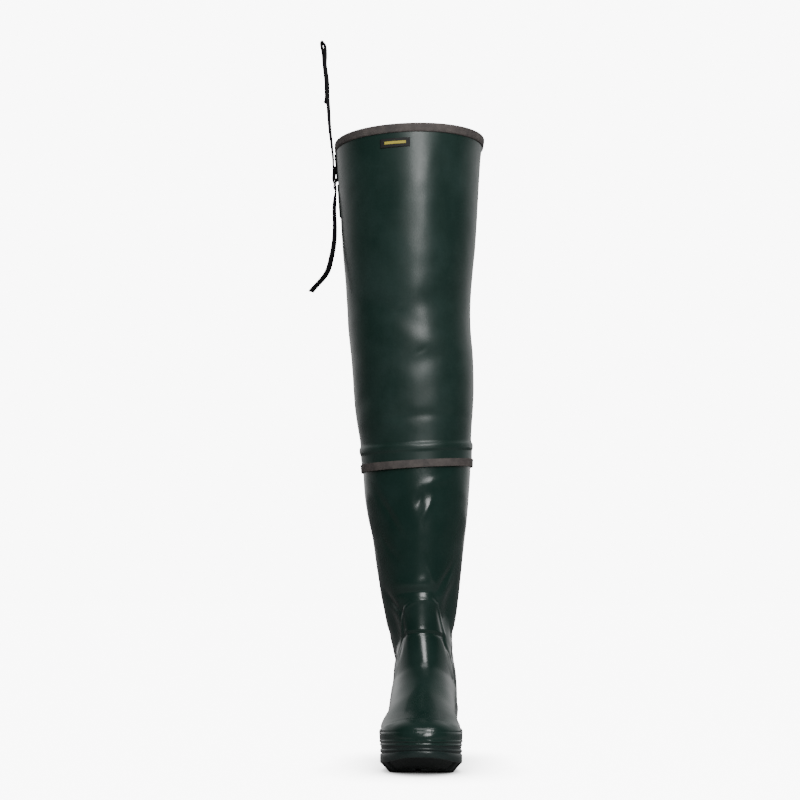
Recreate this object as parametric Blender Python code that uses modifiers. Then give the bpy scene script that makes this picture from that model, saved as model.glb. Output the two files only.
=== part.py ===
"""A rubber hip wader for the right leg, built as its maker builds it: a last-shaped rubber boot, a thin
thigh shaft pulled over the boot's top edge, binding tapes, a lugged sole and a side strap to the belt.

Tables and sizes are in millimetres, and every mesh is made in metres. +Z is up, the toe points to -Y,
and the outer side of the leg is -X.
"""

import math
from collections import namedtuple

import bmesh
import bpy
import numpy as np

MM = 0.001

# Driving sizes of the whole wader
SOLE_LENGTH = 300.0
HEEL_BACK_Y = 92.0
HEEL_REST_Y = 45.0
RIM_Z = 903.0
BOOT_TOP_Z = 447.0
THROAT_Z = 140.0

# Walls, gaps and grids
WALL = 2.5
THIGH_WALL = 1.3
GAP = 0.3
FEATHER_INSET = 2.0
COLUMNS_PER_SIDE = 12
FOOT_ROWS = 22

# The leg from the heel up, a row for each height. Half width and middle line are as seen from the front,
# back and front lines as seen from the side. The powers round the section's front and back, 2 is an
# ellipse and less is more pointed. Slant is how much a level line rises towards the inner side.
LEG_COLUMNS = "z half centre back front front_power back_power slant"
LEG = [
    (36, 41.0, 0.3, 92.0, -74.0, 2.00, 2.50, 0.000),
    (80, 47.2, 1.6, 91.0, -70.0, 2.00, 2.40, 0.000),
    (112, 45.6, 2.8, 85.5, -63.0, 2.00, 2.20, 0.000),
    (140, 42.2, 2.2, 81.0, -51.5, 2.00, 2.10, 0.000),
    (168, 44.0, -1.7, 80.5, -43.5, 2.00, 2.05, 0.000),
    (190, 48.1, -3.2, 82.5, -40.5, 2.00, 2.00, 0.005),
    (207, 51.4, -3.4, 84.5, -39.0, 2.00, 2.00, 0.010),
    (242, 57.4, -4.6, 89.0, -38.0, 2.00, 2.00, 0.020),
    (276, 62.3, -5.0, 93.0, -38.0, 2.00, 2.00, 0.025),
    (311, 66.6, -5.8, 95.5, -38.0, 2.00, 2.05, 0.035),
    (346, 72.5, -7.3, 98.0, -37.5, 2.00, 2.10, 0.040),
    (380, 76.4, -8.2, 99.5, -37.0, 2.05, 2.10, 0.050),
    (412, 78.3, -8.4, 100.0, -36.5, 2.05, 2.10, 0.055),
    (447, 80.6, -9.8, 101.0, -38.0, 2.05, 2.10, 0.045),
    (515, 87.3, -12.9, 105.0, -43.0, 2.05, 2.10, 0.035),
    (574, 89.5, -15.3, 109.0, -48.0, 2.05, 2.10, 0.025),
    (634, 90.2, -19.8, 113.0, -52.5, 2.05, 2.10, 0.020),
    (679, 92.4, -20.5, 116.0, -57.0, 2.05, 2.10, 0.020),
    (754, 99.2, -19.6, 121.0, -64.0, 2.05, 2.10, 0.025),
    (814, 103.0, -19.6, 126.0, -69.5, 2.05, 2.10, 0.030),
    (875, 107.8, -20.2, 131.0, -74.0, 2.05, 2.10, 0.030),
    (905, 110.6, -18.8, 133.0, -76.0, 2.05, 2.10, 0.030),
]

# Height of each leg section at the back and at the front: the lower ones lean, as the ankle's do
LEAN_COLUMNS = "back_z front_z"
LEAN = [
    (36, 138.2),
    (60, 163),
    (90, 186),
    (130, 214),
    (180, 247),
    (240, 287),
    (300, 328),
    (350, 362),
    (400, 400),
    (910, 910),
]

# The foot, a row for each station of the sole's edge: where its section meets the top line, its widest
# half width, how far up that lies, and the power that rounds the top
FOOT_COLUMNS = "y top_y side side_at top_power"
FOOT = [
    (-208, -208.0, 54, 0.36, 2.60),
    (-170, -170.0, 54, 0.34, 2.50),
    (-125, -125.0, 53.5, 0.34, 2.35),
    (-60, -89.0, 47.0, 0.42, 2.15),
    (0, -69.0, 46.5, 0.46, 2.05),
    (50, -58.5, 47.0, 0.46, 2.00),
    (92, -51.5, 47.1, 0.45, 2.00),
]
TOP_LINE_COLUMNS = "y z"
TOP_LINE = [
    (-208, 66.0),
    (-190, 69.0),
    (-165, 72.5),
    (-140, 77.5),
    (-118, 85.0),
    (-98, 94.5),
    (-82, 104.0),
    (-69, 115.0),
    (-59.5, 126.5),
    (-51.5, 140.0),
    (-43.5, 168.0),
]
TOE_ROUND = 20.0
TOE_ROUND_START_Y = -185.0

# The sole's outline from the heel back, with both ends closed by superelliptic caps
OUTLINE_COLUMNS = "station half centre"
OUTLINE = [
    (0, 37.5, 0.0),
    (40, 38.5, 0.0),
    (80, 37.5, 0.0),
    (120, 36.5, -1.0),
    (160, 43.5, -1.0),
    (200, 52.0, 0.5),
    (230, 54.5, 2.5),
    (260, 52.5, 4.0),
    (285, 48.0, 5.0),
    (300, 45.0, 5.5),
]
HEEL_CAP, HEEL_CAP_POWER = 38.0, 2.1
TOE_CAP, TOE_CAP_POWER = 66.0, 2.35

# The sole from the side: underside of its body, and the edge that the upper stands on
SOLE_COLUMNS = "y under edge"
SOLE = [
    (-208, 24.5, 40.0),
    (-180, 16.5, 37.0),
    (-150, 12.0, 34.5),
    (-120, 8.5, 33.0),
    (-62, 7.0, 33.0),
    (-48, 15.0, 33.3),
    (12, 15.0, 35.0),
    (24, 7.0, 35.6),
    (92, 7.0, 37.5),
]
TREAD_SPRING = 19.0
TREAD_SPRING_START_Y = -145.0

# The sole's side wall from the bottom up: share of its height, and how far it stands out
SIDE_WALL = [
    (0.00, -1.0),
    (0.06, 0.0),
    (0.50, 0.0),
    (0.55, -1.2),
    (0.61, -1.2),
    (0.66, 0.0),
    (0.76, 0.0),
    (0.80, -1.2),
    (0.86, -1.2),
    (0.90, -0.9),
    (1.00, -0.9),
]
LEDGE = 5.6
RECESS_DEPTH = 10.0
INSOLE_THICKNESS = 4.0
SOLE_ROWS = 24

# Tread: grooves across, with their middle, and one groove along
TREAD_TOE_Y, TREAD_BALL_Y = -206.0, -58.0
TREAD_BREAST_Y, TREAD_HEEL_Y = 22.0, 90.5
TREAD_INSET = 0.9
FORE_CHAMFER, HEEL_CHAMFER = 11.0, 3.0
GROOVE_WIDTH = 6.5
FORE_GROOVES = [-178.0 + 17.0 * i for i in range(7)]
HEEL_GROOVES = [37.0 + 16.0 * i for i in range(3)]
MIDDLE_GROOVE = 7.0
MIDDLE_GROOVE_ENDS = 13.0

# The boot's rows above the heel, by the height of their back
LEG_ROWS = [52, 66, 78, 96, 114, 132, 150, 176, 206, 240, 280, 325, 370, 413.5, 426.5, BOOT_TOP_Z]

# Overlays of the boot: sheets over its own rows and columns, cut to outlines. The tops of the toe cap and
# the heel counter and the back of the vamp are (y, z) as seen from the side, the ankle panel's outline is
# (x, z) from the front.
OVERLAY_GAP = 0.5
SEAM_GAP = 1.2
TOE_CAP_THICK, COUNTER_THICK, VAMP_THICK, ANKLE_THICK = 1.6, 1.4, 1.2, 1.2
TOE_CAP_ROWS = (0, 14)
TOE_CAP_TOP = [
    (-60, 44),
    (-85, 47),
    (-115, 51),
    (-145, 56.5),
    (-165, 62),
    (-178, 68),
    (-186, 75),
    (-215, 110),
]
COUNTER_ROWS = (10, FOOT_ROWS + 5)
COUNTER_TOP = [(-56, 58), (-20, 60), (10, 64), (35, 71), (55, 80), (70, 88), (84, 92), (110, 92)]
VAMP_ROWS = (2, FOOT_ROWS + 4)
VAMP_BACK = [
    (-44, 178),
    (-36, 176.5),
    (-27, 171),
    (-20, 158),
    (-13, 140),
    (-7, 122),
    (-1, 106),
    (2, 94),
    (-1, 83),
    (-12, 74),
    (-30, 68),
    (-60, 62),
]
ANKLE_ROWS = (FOOT_ROWS + 1, FOOT_ROWS + 9)
ANKLE_HALF_COLUMNS = 6
ANKLE_OUTLINE = [
    (-30, 174),
    (-28, 206),
    (-24, 215.5),
    (-14, 224),
    (0, 228),
    (14, 227.5),
    (23, 221),
    (27, 208),
    (33, 180),
    (34, 175),
    (18, 179),
    (0, 180.5),
    (-16, 179),
]

# Thigh shaft: outside and inside of its lap over the boot's top edge, and its rows above
LAP_COLUMNS = "z outer inner"
LAP = [
    (416.0, 1.6, 0.3),
    (440.0, 1.6, 0.3),
    (443.5, 2.7, 0.3),
    (448.5, 2.7, 0.3),
    (455.0, 0.0, -THIGH_WALL),
]
THIGH_ROW_SPACING = 45.0

# Bindings, badge and patch
TRIM_THICK, TRIM_HEIGHT = 1.5, 13.0
KNEE_TRIM_Z = 413.5
BADGE_X, BADGE_Z, BADGE_THICK = (-57.0, -14.0), (869.5, 882.0), 0.9
PATCH_Z, PATCH_WIDTH, PATCH_THICK = (794.0, 843.0), 24.0, 1.4

# Straps and buckle, (x, z) in the plane y = STRAP_Y
STRAP_Y, STRAP_WIDTH, STRAP_THICK = 28.0, 12.0, 1.2
SIDE_STRAP = [
    (-145.9, 965.6),
    (-144.2, 969.5),
    (-143.6, 975.0),
    (-143.9, 985.0),
    (-144.2, 997.0),
    (-146.1, 1013.0),
    (-147.9, 1028.0),
    (-149.0, 1040.0),
    (-151.4, 1053.0),
    (-151.8, 1058.5),
    (-149.6, 1061.2),
    (-147.0, 1057.5),
    (-145.9, 1049.0),
    (-145.8, 1040.0),
    (-146.3, 1028.0),
    (-144.5, 1013.0),
    (-142.6, 997.0),
    (-142.3, 985.0),
    (-142.0, 975.0),
    (-141.4, 966.0),
    (-140.9, 960.0),
    (-139.6, 937.6),
    (-137.9, 919.2),
    (-136.3, 906.9),
    (-134.6, 891.5),
    (-133.2, 876.0),
    (-132.9, 860.0),
    (-133.3, 847.0),
    (-131.8, 842.2),
    (-129.6, 839.4),
    (-129.0, 835.0),
    (-129.4, 829.0),
    (-131.2, 803.0),
    (-130.3, 778.7),
    (-131.0, 754.5),
    (-135.1, 730.3),
    (-142.3, 706.2),
    (-162.7, 682.2),
    (-165.4, 677.7),
]
ANCHOR_STRAP = [
    (-129.9, 885.0),
    (-129.3, 875.0),
    (-128.2, 864.0),
    (-127.3, 854.0),
    (-127.2, 848.5),
    (-127.8, 846.6),
    (-129.2, 846.0),
    (-130.6, 846.6),
    (-131.2, 848.5),
    (-130.9, 854.0),
    (-130.0, 860.0),
    (-130.3, 867.0),
]
# Turn of the side strap about an upright line that follows it
STRAP_TURN_COLUMNS = "z x degrees"
STRAP_TURN = [
    (677, -165, 28),
    (706, -142, 27),
    (740, -133, 24),
    (780, -131, 19),
    (812, -131, 14),
    (830, -131, 0),
    (870, -133, 0),
    (885, -133, 4),
    (910, -137, 9),
    (945, -140, 13),
    (975, -143, 16),
    (1005, -144, 17),
    (1032, -147, 13),
    (1062, -149, 10),
]
BUCKLE_HEAD, BUCKLE_FOOT = (-129.2, 848.2), (-131.6, 834.5)
BUCKLE_WIRE, BUCKLE_WIDTH, BUCKLE_CORNER = 1.0, 16.0, 2.5

SECTION_VALUES = "end_y end_z top_y top_z ends_x side_x side_half side_at top_x low_power top_power slant"
Section = namedtuple("Section", SECTION_VALUES)


def smooth(xs, ys):
    """A curve through the points that keeps rising or falling stretches so (monotone cubic)."""
    xs, ys = np.array(xs, float), np.array(ys, float)
    step = np.diff(xs)
    slope = np.diff(ys) / step
    tangent = np.zeros(len(xs))
    tangent[0], tangent[-1] = slope[0], slope[-1]
    for i in range(1, len(xs) - 1):
        if slope[i - 1] * slope[i] > 0:
            before, after = 2 * step[i] + step[i - 1], step[i] + 2 * step[i - 1]
            tangent[i] = (before + after) / (before / slope[i - 1] + after / slope[i])

    def at(x):
        x = np.clip(x, xs[0], xs[-1])
        i = np.clip(np.searchsorted(xs, x) - 1, 0, len(step) - 1)
        t = (x - xs[i]) / step[i]
        rise = t * t * (3 - 2 * t)
        return (
            ys[i] * (1 - rise)
            + ys[i + 1] * rise
            + step[i] * (tangent[i] * t * (1 - t) ** 2 - tangent[i + 1] * t * t * (1 - t))
        )

    return at


def curves(columns, rows):
    """One smooth curve for each named column after the first, over the first."""
    names = columns.split()
    table = np.array(rows, float)
    return {name: smooth(table[:, 0], table[:, i]) for i, name in enumerate(names) if i}


leg = curves(LEG_COLUMNS, LEG)
lean = curves(LEAN_COLUMNS, LEAN)["front_z"]
foot = curves(FOOT_COLUMNS, FOOT)
top_line = curves(TOP_LINE_COLUMNS, TOP_LINE)["z"]
outline = curves(OUTLINE_COLUMNS, OUTLINE)
sole = curves(SOLE_COLUMNS, SOLE)
strap_turn = curves(STRAP_TURN_COLUMNS, STRAP_TURN)


def ease(x, start, end):
    t = min(1.0, max(0.0, (x - start) / (end - start)))
    return t * t * (3 - 2 * t)


# Outline of the sole


def edge_point(q, side, inset=0.0):
    """(x, y) on the sole's outline. q runs from the toe tip, 0, to the heel back, 1; side is -1 outer, +1 inner."""

    def raw(q):
        station = SOLE_LENGTH * (1 + math.cos(math.pi * q)) / 2
        half = float(outline["half"](station))
        if station < HEEL_CAP:
            half *= (1 - (1 - station / HEEL_CAP) ** HEEL_CAP_POWER) ** (1 / HEEL_CAP_POWER)
        if station > SOLE_LENGTH - TOE_CAP:
            part = (station - SOLE_LENGTH + TOE_CAP) / TOE_CAP
            half *= max(0.0, 1 - part**TOE_CAP_POWER) ** (1 / TOE_CAP_POWER)
        return np.array([float(outline["centre"](station)) + side * half, HEEL_BACK_Y - station])

    step = 1e-4
    if q < step:
        normal = np.array([0.0, -1.0])
    elif q > 1 - step:
        normal = np.array([0.0, 1.0])
    else:
        along = raw(q + step) - raw(q - step)
        normal = side * np.array([along[1], -along[0]]) / np.hypot(*along)
    return raw(q) - inset * normal


def station_q(y):
    """The q of the outline at a station y."""
    return math.acos(2 * (HEEL_BACK_Y - y) / SOLE_LENGTH - 1) / math.pi


# Sections of the boot and shaft


def toe_top(y):
    """Height of the top line at a station, rounded down at the toe tip."""
    z = float(top_line(y))
    tip_y = HEEL_BACK_Y - SOLE_LENGTH + FEATHER_INSET
    if y < TOE_ROUND_START_Y:
        part = min(1.0, (TOE_ROUND_START_Y - y) / (TOE_ROUND_START_Y - tip_y))
        z -= TOE_ROUND * (1 - math.sqrt(1 - part**2.2))
    return z


def foot_section(q):
    """The arch over the foot that stands on the sole's edge at q, leaning forward behind the ball."""
    ends = [edge_point(q, side, FEATHER_INSET) for side in (-1, 1)]
    y = float(ends[0][1] + ends[1][1]) / 2
    middle = float(ends[0][0] + ends[1][0]) / 2
    half = float(ends[1][0] - ends[0][0]) / 2
    to_heel = ease(y, -60, 40)
    past_ball = ease(y, -150, -90)
    end_z = float(sole["edge"](y)) + GAP
    top_y = float(foot["top_y"](y))
    side_at = float(foot["side_at"](y))
    side_z = end_z + side_at * (toe_top(top_y) - end_z)
    return Section(
        end_y=y,
        end_z=end_z,
        top_y=top_y,
        top_z=toe_top(top_y),
        ends_x=(float(ends[0][0]), float(ends[1][0])),
        side_x=middle + (float(leg["centre"](side_z)) - middle) * past_ball,
        side_half=half * 1.015 * (1 - past_ball) + float(foot["side"](y)) * past_ball,
        side_at=side_at,
        top_x=middle + (4.0 - middle) * ease(y, -150, 0) + (float(leg["centre"](THROAT_Z)) - 4.0) * ease(y, 20, 88),
        low_power=2.0 + 0.5 * to_heel,
        top_power=float(foot["top_power"](y)),
        slant=0.0,
    )


def leg_section(z):
    """The closed ring whose back lies at height z."""
    front_z = float(lean(z))
    low = float(sole["edge"](HEEL_BACK_Y)) + GAP
    rise = ease(z, low, 110)
    side_at = 0.45 + 0.05 * rise
    side_z = z + side_at * (front_z - z)
    heel_x = float(edge_point(1, 1)[0])
    back_x = heel_x + (float(leg["centre"](z)) - heel_x) * rise
    return Section(
        end_y=float(leg["back"](z)) - FEATHER_INSET * (1 - rise),
        end_z=z,
        top_y=float(leg["front"](front_z)),
        top_z=front_z,
        ends_x=(back_x, back_x),
        side_x=float(leg["centre"](side_z)),
        side_half=float(leg["half"](side_z)),
        side_at=side_at,
        top_x=float(leg["centre"](front_z)),
        low_power=float(leg["back_power"](z)),
        top_power=float(leg["front_power"](front_z)),
        slant=float(leg["slant"](side_z)),
    )


def half_line(section, side, samples=72):
    """Close points over one half of a section, from its end at the sole or back to its top or front."""
    s = section
    end = np.array([s.end_y, s.end_z])
    span = np.array([s.top_y, s.top_z]) - end
    end_x = s.ends_x[0] if side < 0 else s.ends_x[1]
    side_x = s.side_x + side * s.side_half
    points = []
    for i in range(samples):
        angle = i / samples * math.pi / 2
        out = math.sin(angle) ** (2 / s.low_power)
        up = 1 - math.cos(angle) ** (2 / s.low_power)
        points.append((end_x + (side_x - end_x) * out, s.side_at * up))
    for i in range(samples + 1):
        angle = i / samples * math.pi / 2
        out = math.cos(angle) ** (2 / s.top_power) if i < samples else 0.0
        up = math.sin(angle) ** (2 / s.top_power)
        points.append((s.top_x + (side_x - s.top_x) * out, s.side_at + (1 - s.side_at) * up))
    made = []
    for x, part in points:
        y, z = end + span * part
        made.append((x, y, z + s.slant * (x - s.side_x)))
    return np.array(made)


def half_ring(section, side):
    """Evenly spaced points on one half of a section, from its end."""
    line = half_line(section, side)
    run = np.concatenate([[0], np.cumsum(np.linalg.norm(np.diff(line, axis=0), axis=1))])
    at = np.linspace(0, run[-1], COLUMNS_PER_SIDE + 1)
    return np.array([np.interp(at, run, line[:, k]) for k in range(3)]).T


def ring(section):
    """A whole section, from its outer end over the top or front to its inner end."""
    return np.vstack([half_ring(section, -1), half_ring(section, 1)[-2::-1]])


def moved_out(section, out):
    return section._replace(
        end_y=section.end_y + out,
        top_y=section.top_y - out,
        side_half=section.side_half + out,
    )


# Making meshes


def material(name, colour, roughness, metallic=0.0):
    made = bpy.data.materials.new(name)
    made.use_nodes = True
    shader = made.node_tree.nodes["Principled BSDF"]
    shader.inputs["Base Color"].default_value = (*colour, 1.0)
    shader.inputs["Roughness"].default_value = roughness
    shader.inputs["Metallic"].default_value = metallic
    return made


def add_object(name, data, finish, collection="hip_wader"):
    made = bpy.data.objects.new(name, data)
    if finish:
        data.materials.append(finish)
    bpy.data.collections[collection].objects.link(made)
    return made


def loft(name, strips, finish, closed=False, capped=False, collection="hip_wader"):
    """A surface over strips of rows, each row of as many points. Points that meet are joined."""
    bm = bmesh.new()
    for strip in strips:
        rows = [[bm.verts.new(tuple(p * MM)) for p in points] for points in strip]
        columns = len(rows[0])
        for near, far in zip(rows, rows[1:]):
            for i in range(columns if closed else columns - 1):
                j = (i + 1) % columns
                bm.faces.new((near[i], near[j], far[j]))
                bm.faces.new((near[i], far[j], far[i]))
        if capped:
            bm.faces.new(rows[0][::-1])
            bm.faces.new(rows[-1])
    bmesh.ops.remove_doubles(bm, verts=bm.verts, dist=1e-6)
    bmesh.ops.dissolve_degenerate(bm, edges=bm.edges, dist=1e-7)
    mesh = bpy.data.meshes.new(name)
    bm.to_mesh(mesh)
    bm.free()
    return add_object(name, mesh, finish, collection)


def thicken(target, thickness, outward):
    wall = target.modifiers.new("wall", "SOLIDIFY")
    wall.thickness = thickness * MM
    wall.offset = 1.0 if outward else -1.0


def overlay(name, strips, finish, thickness):
    """A sheet that lies a gap above the boot's skin and is thickened outward."""
    made = loft(name, strips, finish)
    vertices = made.data.vertices
    places = [v.co + v.normal * OVERLAY_GAP * MM for v in vertices]
    for v, place in zip(vertices, places):
        v.co = place
    thicken(made, thickness, outward=True)
    return made


def boolean(target, other, operation):
    cut = target.modifiers.new(operation.lower(), "BOOLEAN")
    cut.operation = operation
    cut.object = other
    return cut


def bake(target):
    """Turns the object's modifiers into its mesh."""
    graph = bpy.context.evaluated_depsgraph_get()
    mesh = bpy.data.meshes.new_from_object(target.evaluated_get(graph))
    target.modifiers.clear()
    target.data = mesh


def add_box(bm, middle, size):
    for v in bmesh.ops.create_cube(bm, size=1.0)["verts"]:
        v.co = [(m + c * s) * MM for m, c, s in zip(middle, v.co, size)]


def smooth_path(points, turn=7.0):
    """A smooth curve through the points, with a point for each few degrees that it turns."""
    points = np.array(points, float)
    ends = [2 * points[0] - points[1], *points, 2 * points[-1] - points[-2]]
    fine = []
    for a, b, c, d in zip(ends, ends[1:], ends[2:], ends[3:]):
        for t in np.linspace(0, 1, 16, endpoint=False):
            fine.append(
                0.5 * (2 * b + (c - a) * t + (2 * a - 5 * b + 4 * c - d) * t**2 + (3 * b - a - 3 * c + d) * t**3)
            )
    fine.append(points[-1])
    kept = [fine[0]]
    heading = None
    for near, far in zip(fine, fine[1:]):
        now = math.degrees(math.atan2(far[1] - near[1], far[0] - near[0]))
        if heading is None:
            heading = now
        if abs((now - heading + 180) % 360 - 180) > turn:
            kept.append(near)
            heading = now
    return np.array([*kept, fine[-1]])


def turned(point):
    """A point of a strap, turned about the upright line that follows it."""
    x, y, z = point
    angle = math.radians(float(strap_turn["degrees"](z)))
    middle = float(strap_turn["x"](z))
    a, b = x - middle, y - STRAP_Y
    across = middle + a * math.cos(angle) + b * math.sin(angle)
    return np.array([across, STRAP_Y - a * math.sin(angle) + b * math.cos(angle), z])


def ribbon(name, points, width, thickness, finish):
    """A flat strap along a path in the plane y = STRAP_Y, then turned."""
    path = smooth_path(points)
    rows = []
    for i, (x, z) in enumerate(path):
        near, far = path[max(0, i - 1)], path[min(len(path) - 1, i + 1)]
        dx, dz = (far - near) / np.hypot(*(far - near))
        across = np.array([0.0, width / 2, 0.0])
        through = np.array([-dz, 0.0, dx]) * thickness / 2
        middle = np.array([x, STRAP_Y, z])
        rows.append([turned(middle + a * across + b * through) for a, b in ((-1, -1), (1, -1), (1, 1), (-1, 1))])
    loft(name, [rows], finish, closed=True, capped=True)


# The sole


def tread_bottom(y):
    """Height of the lugs' faces: flat at ball and heel, rising at the toe."""
    part = max(0.0, (TREAD_SPRING_START_Y - y) / (TREAD_SPRING_START_Y - HEEL_BACK_Y + SOLE_LENGTH))
    return TREAD_SPRING * part**1.8


def station_y(q):
    return HEEL_BACK_Y - SOLE_LENGTH * (1 + math.cos(math.pi * q)) / 2


def sole_ring(q):
    """The sole body's section: up the outer wall, over the ledge into the recess, and down the inner wall."""
    under, edge = float(sole["under"](station_y(q))), float(sole["edge"](station_y(q)))
    columns = []
    for side in (-1, 1):
        column = [(*edge_point(q, side, -out), under + share * (edge - under)) for share, out in SIDE_WALL]
        column.append((*edge_point(q, side, LEDGE), edge))
        column.append((*edge_point(q, side, LEDGE + 0.5), edge - RECESS_DEPTH))
        columns.append(column)
    return np.array(columns[0] + columns[1][::-1])


def slab(name, stations, inset, low, high, finish, chamfer=0.0, capped=False, collection="hip_wader"):
    """A plate between two heights that keeps to the sole's outline, narrower below by the chamfer."""
    rows = []
    for q in stations:
        outer, inner = edge_point(q, -1, inset), edge_point(q, 1, inset)
        low_outer, low_inner = edge_point(q, -1, inset + chamfer), edge_point(q, 1, inset + chamfer)
        bottom, top = low(station_y(q)), high(station_y(q))
        rows.append(np.array([(*low_outer, bottom), (*outer, top), (*inner, top), (*low_inner, bottom)]))
    return loft(name, [rows], finish, closed=True, capped=capped, collection=collection)


def make_sole(rubber, felt):
    rows = [i / SOLE_ROWS for i in range(SOLE_ROWS + 1)]
    body = loft("outsole", [[sole_ring(q) for q in rows]], rubber, closed=True)
    for name, first, last, grooves, chamfer, split in (
        ("tread_fore", TREAD_TOE_Y, TREAD_BALL_Y, FORE_GROOVES, FORE_CHAMFER, True),
        ("tread_heel", TREAD_BREAST_Y, TREAD_HEEL_Y, HEEL_GROOVES, HEEL_CHAMFER, False),
    ):
        stations = np.linspace(station_q(first), station_q(last), 13)
        tread = slab(
            name,
            stations,
            TREAD_INSET,
            tread_bottom,
            lambda y: float(sole["under"](y)) + 1.0,
            None,
            chamfer,
            capped=True,
            collection="cutters",
        )
        boxes = bmesh.new()
        for y in grooves:
            add_box(boxes, (0, y, 0), (140.0, GROOVE_WIDTH, 60.0))
        mesh = bpy.data.meshes.new(name + "_across")
        boxes.to_mesh(mesh)
        boxes.free()
        boolean(tread, add_object(name + "_across", mesh, None, "cutters"), "DIFFERENCE")
        if split:
            along = bmesh.new()
            add_box(along, (0, (first + last) / 2, 0), (MIDDLE_GROOVE, last - first - 2 * MIDDLE_GROOVE_ENDS, 60.0))
            mesh = bpy.data.meshes.new(name + "_along")
            along.to_mesh(mesh)
            along.free()
            boolean(tread, add_object(name + "_along", mesh, None, "cutters"), "DIFFERENCE")
        boolean(body, tread, "UNION")
    bake(body)
    slab(
        "insole",
        rows,
        LEDGE + 1.2,
        lambda y: float(sole["edge"](y)) - RECESS_DEPTH + GAP,
        lambda y: float(sole["edge"](y)) - RECESS_DEPTH + GAP + INSOLE_THICKNESS,
        felt,
    )


# The boot

HEEL_EDGE_Z = float(sole["edge"](HEEL_BACK_Y)) + GAP
SECTIONS = [foot_section(i / FOOT_ROWS) for i in range(FOOT_ROWS - 1)]
SECTIONS += [leg_section(z) for z in [HEEL_EDGE_Z, *LEG_ROWS]]


def down_to_sole(top):
    """An outline seen from the side, closed under its top line just above the sole's edge."""
    last, first = top[-1][0], top[0][0]
    return top + [(y, float(sole["edge"](y)) + GAP) for y in np.linspace(last, first, 8)]


def vamp_outline():
    """The vamp from the side: its back line, then above the toe cap's top line, and up before the ankle."""
    above_cap = [(y, z + SEAM_GAP) for y, z in TOE_CAP_TOP[1:-1]]
    tip_y = above_cap[-1][0]
    return VAMP_BACK + above_cap + [(tip_y, VAMP_BACK[0][1])]


def prism(name, corners, axis):
    """A cutter right across the boot with the outline of corners: (y, z) across x, or (x, z) across y."""
    bm = bmesh.new()
    far = 300.0
    if axis == "x":
        near = [(-far, a, b) for a, b in corners]
        shift = (2 * far * MM, 0.0, 0.0)
    else:
        near = [(a, -far, b) for a, b in corners]
        shift = (0.0, 2 * far * MM, 0.0)
    face = bm.faces.new([bm.verts.new([c * MM for c in point]) for point in near])
    grown = bmesh.ops.extrude_face_region(bm, geom=[face])["geom"]
    bmesh.ops.translate(bm, vec=shift, verts=[v for v in grown if isinstance(v, bmesh.types.BMVert)])
    bmesh.ops.recalc_face_normals(bm, faces=bm.faces)
    mesh = bpy.data.meshes.new(name)
    bm.to_mesh(mesh)
    bm.free()
    return add_object(name, mesh, None, "cutters")


def make_boot(rubber):
    rings = [ring(section) for section in SECTIONS]
    upper = loft("upper", [rings], rubber)
    thicken(upper, WALL, outward=False)

    middle = COLUMNS_PER_SIDE
    front = slice(middle - ANKLE_HALF_COLUMNS, middle + ANKLE_HALF_COLUMNS + 1)
    for name, rows, thickness, corners, axis in (
        ("toe_cap", rings[slice(*TOE_CAP_ROWS)], TOE_CAP_THICK, down_to_sole(TOE_CAP_TOP), "x"),
        ("heel_counter", rings[slice(*COUNTER_ROWS)], COUNTER_THICK, down_to_sole(COUNTER_TOP), "x"),
        ("vamp", rings[slice(*VAMP_ROWS)], VAMP_THICK, vamp_outline(), "x"),
        ("ankle_panel", [points[front] for points in rings[slice(*ANKLE_ROWS)]], ANKLE_THICK, ANKLE_OUTLINE, "y"),
    ):
        made = overlay(name, [rows], rubber, thickness)
        boolean(made, prism(name + "_outline", corners, axis), "INTERSECT")


# Shaft, bindings, badge and patch


def hoop(name, profile, finish):
    """A ring round the leg whose cross-section is a loop of (height, distance out from the skin)."""
    rows = [ring(moved_out(leg_section(z), out)) for z, out in profile]
    loft(name, [rows + rows[:1]], finish)


def skin_points(z, out, side, ys):
    """Points on the leg's side at height z, moved out, at the given y."""
    line = half_line(moved_out(leg_section(z), out), side)[::-1]
    return np.array([(np.interp(y, line[:, 1], line[:, 0]), y, np.interp(y, line[:, 1], line[:, 2])) for y in ys])


def front_points(z, out, xs):
    """Points on the leg's front at height z, moved out, at the given x."""
    section = moved_out(leg_section(z), out)
    line = np.vstack([half_line(section, -1), half_line(section, 1)[-2::-1]])
    front = line[line[:, 1] < section.end_y - (section.end_y - section.top_y) * 0.6]
    return np.array([(x, np.interp(x, front[:, 0], front[:, 1]), np.interp(x, front[:, 0], front[:, 2])) for x in xs])


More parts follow.
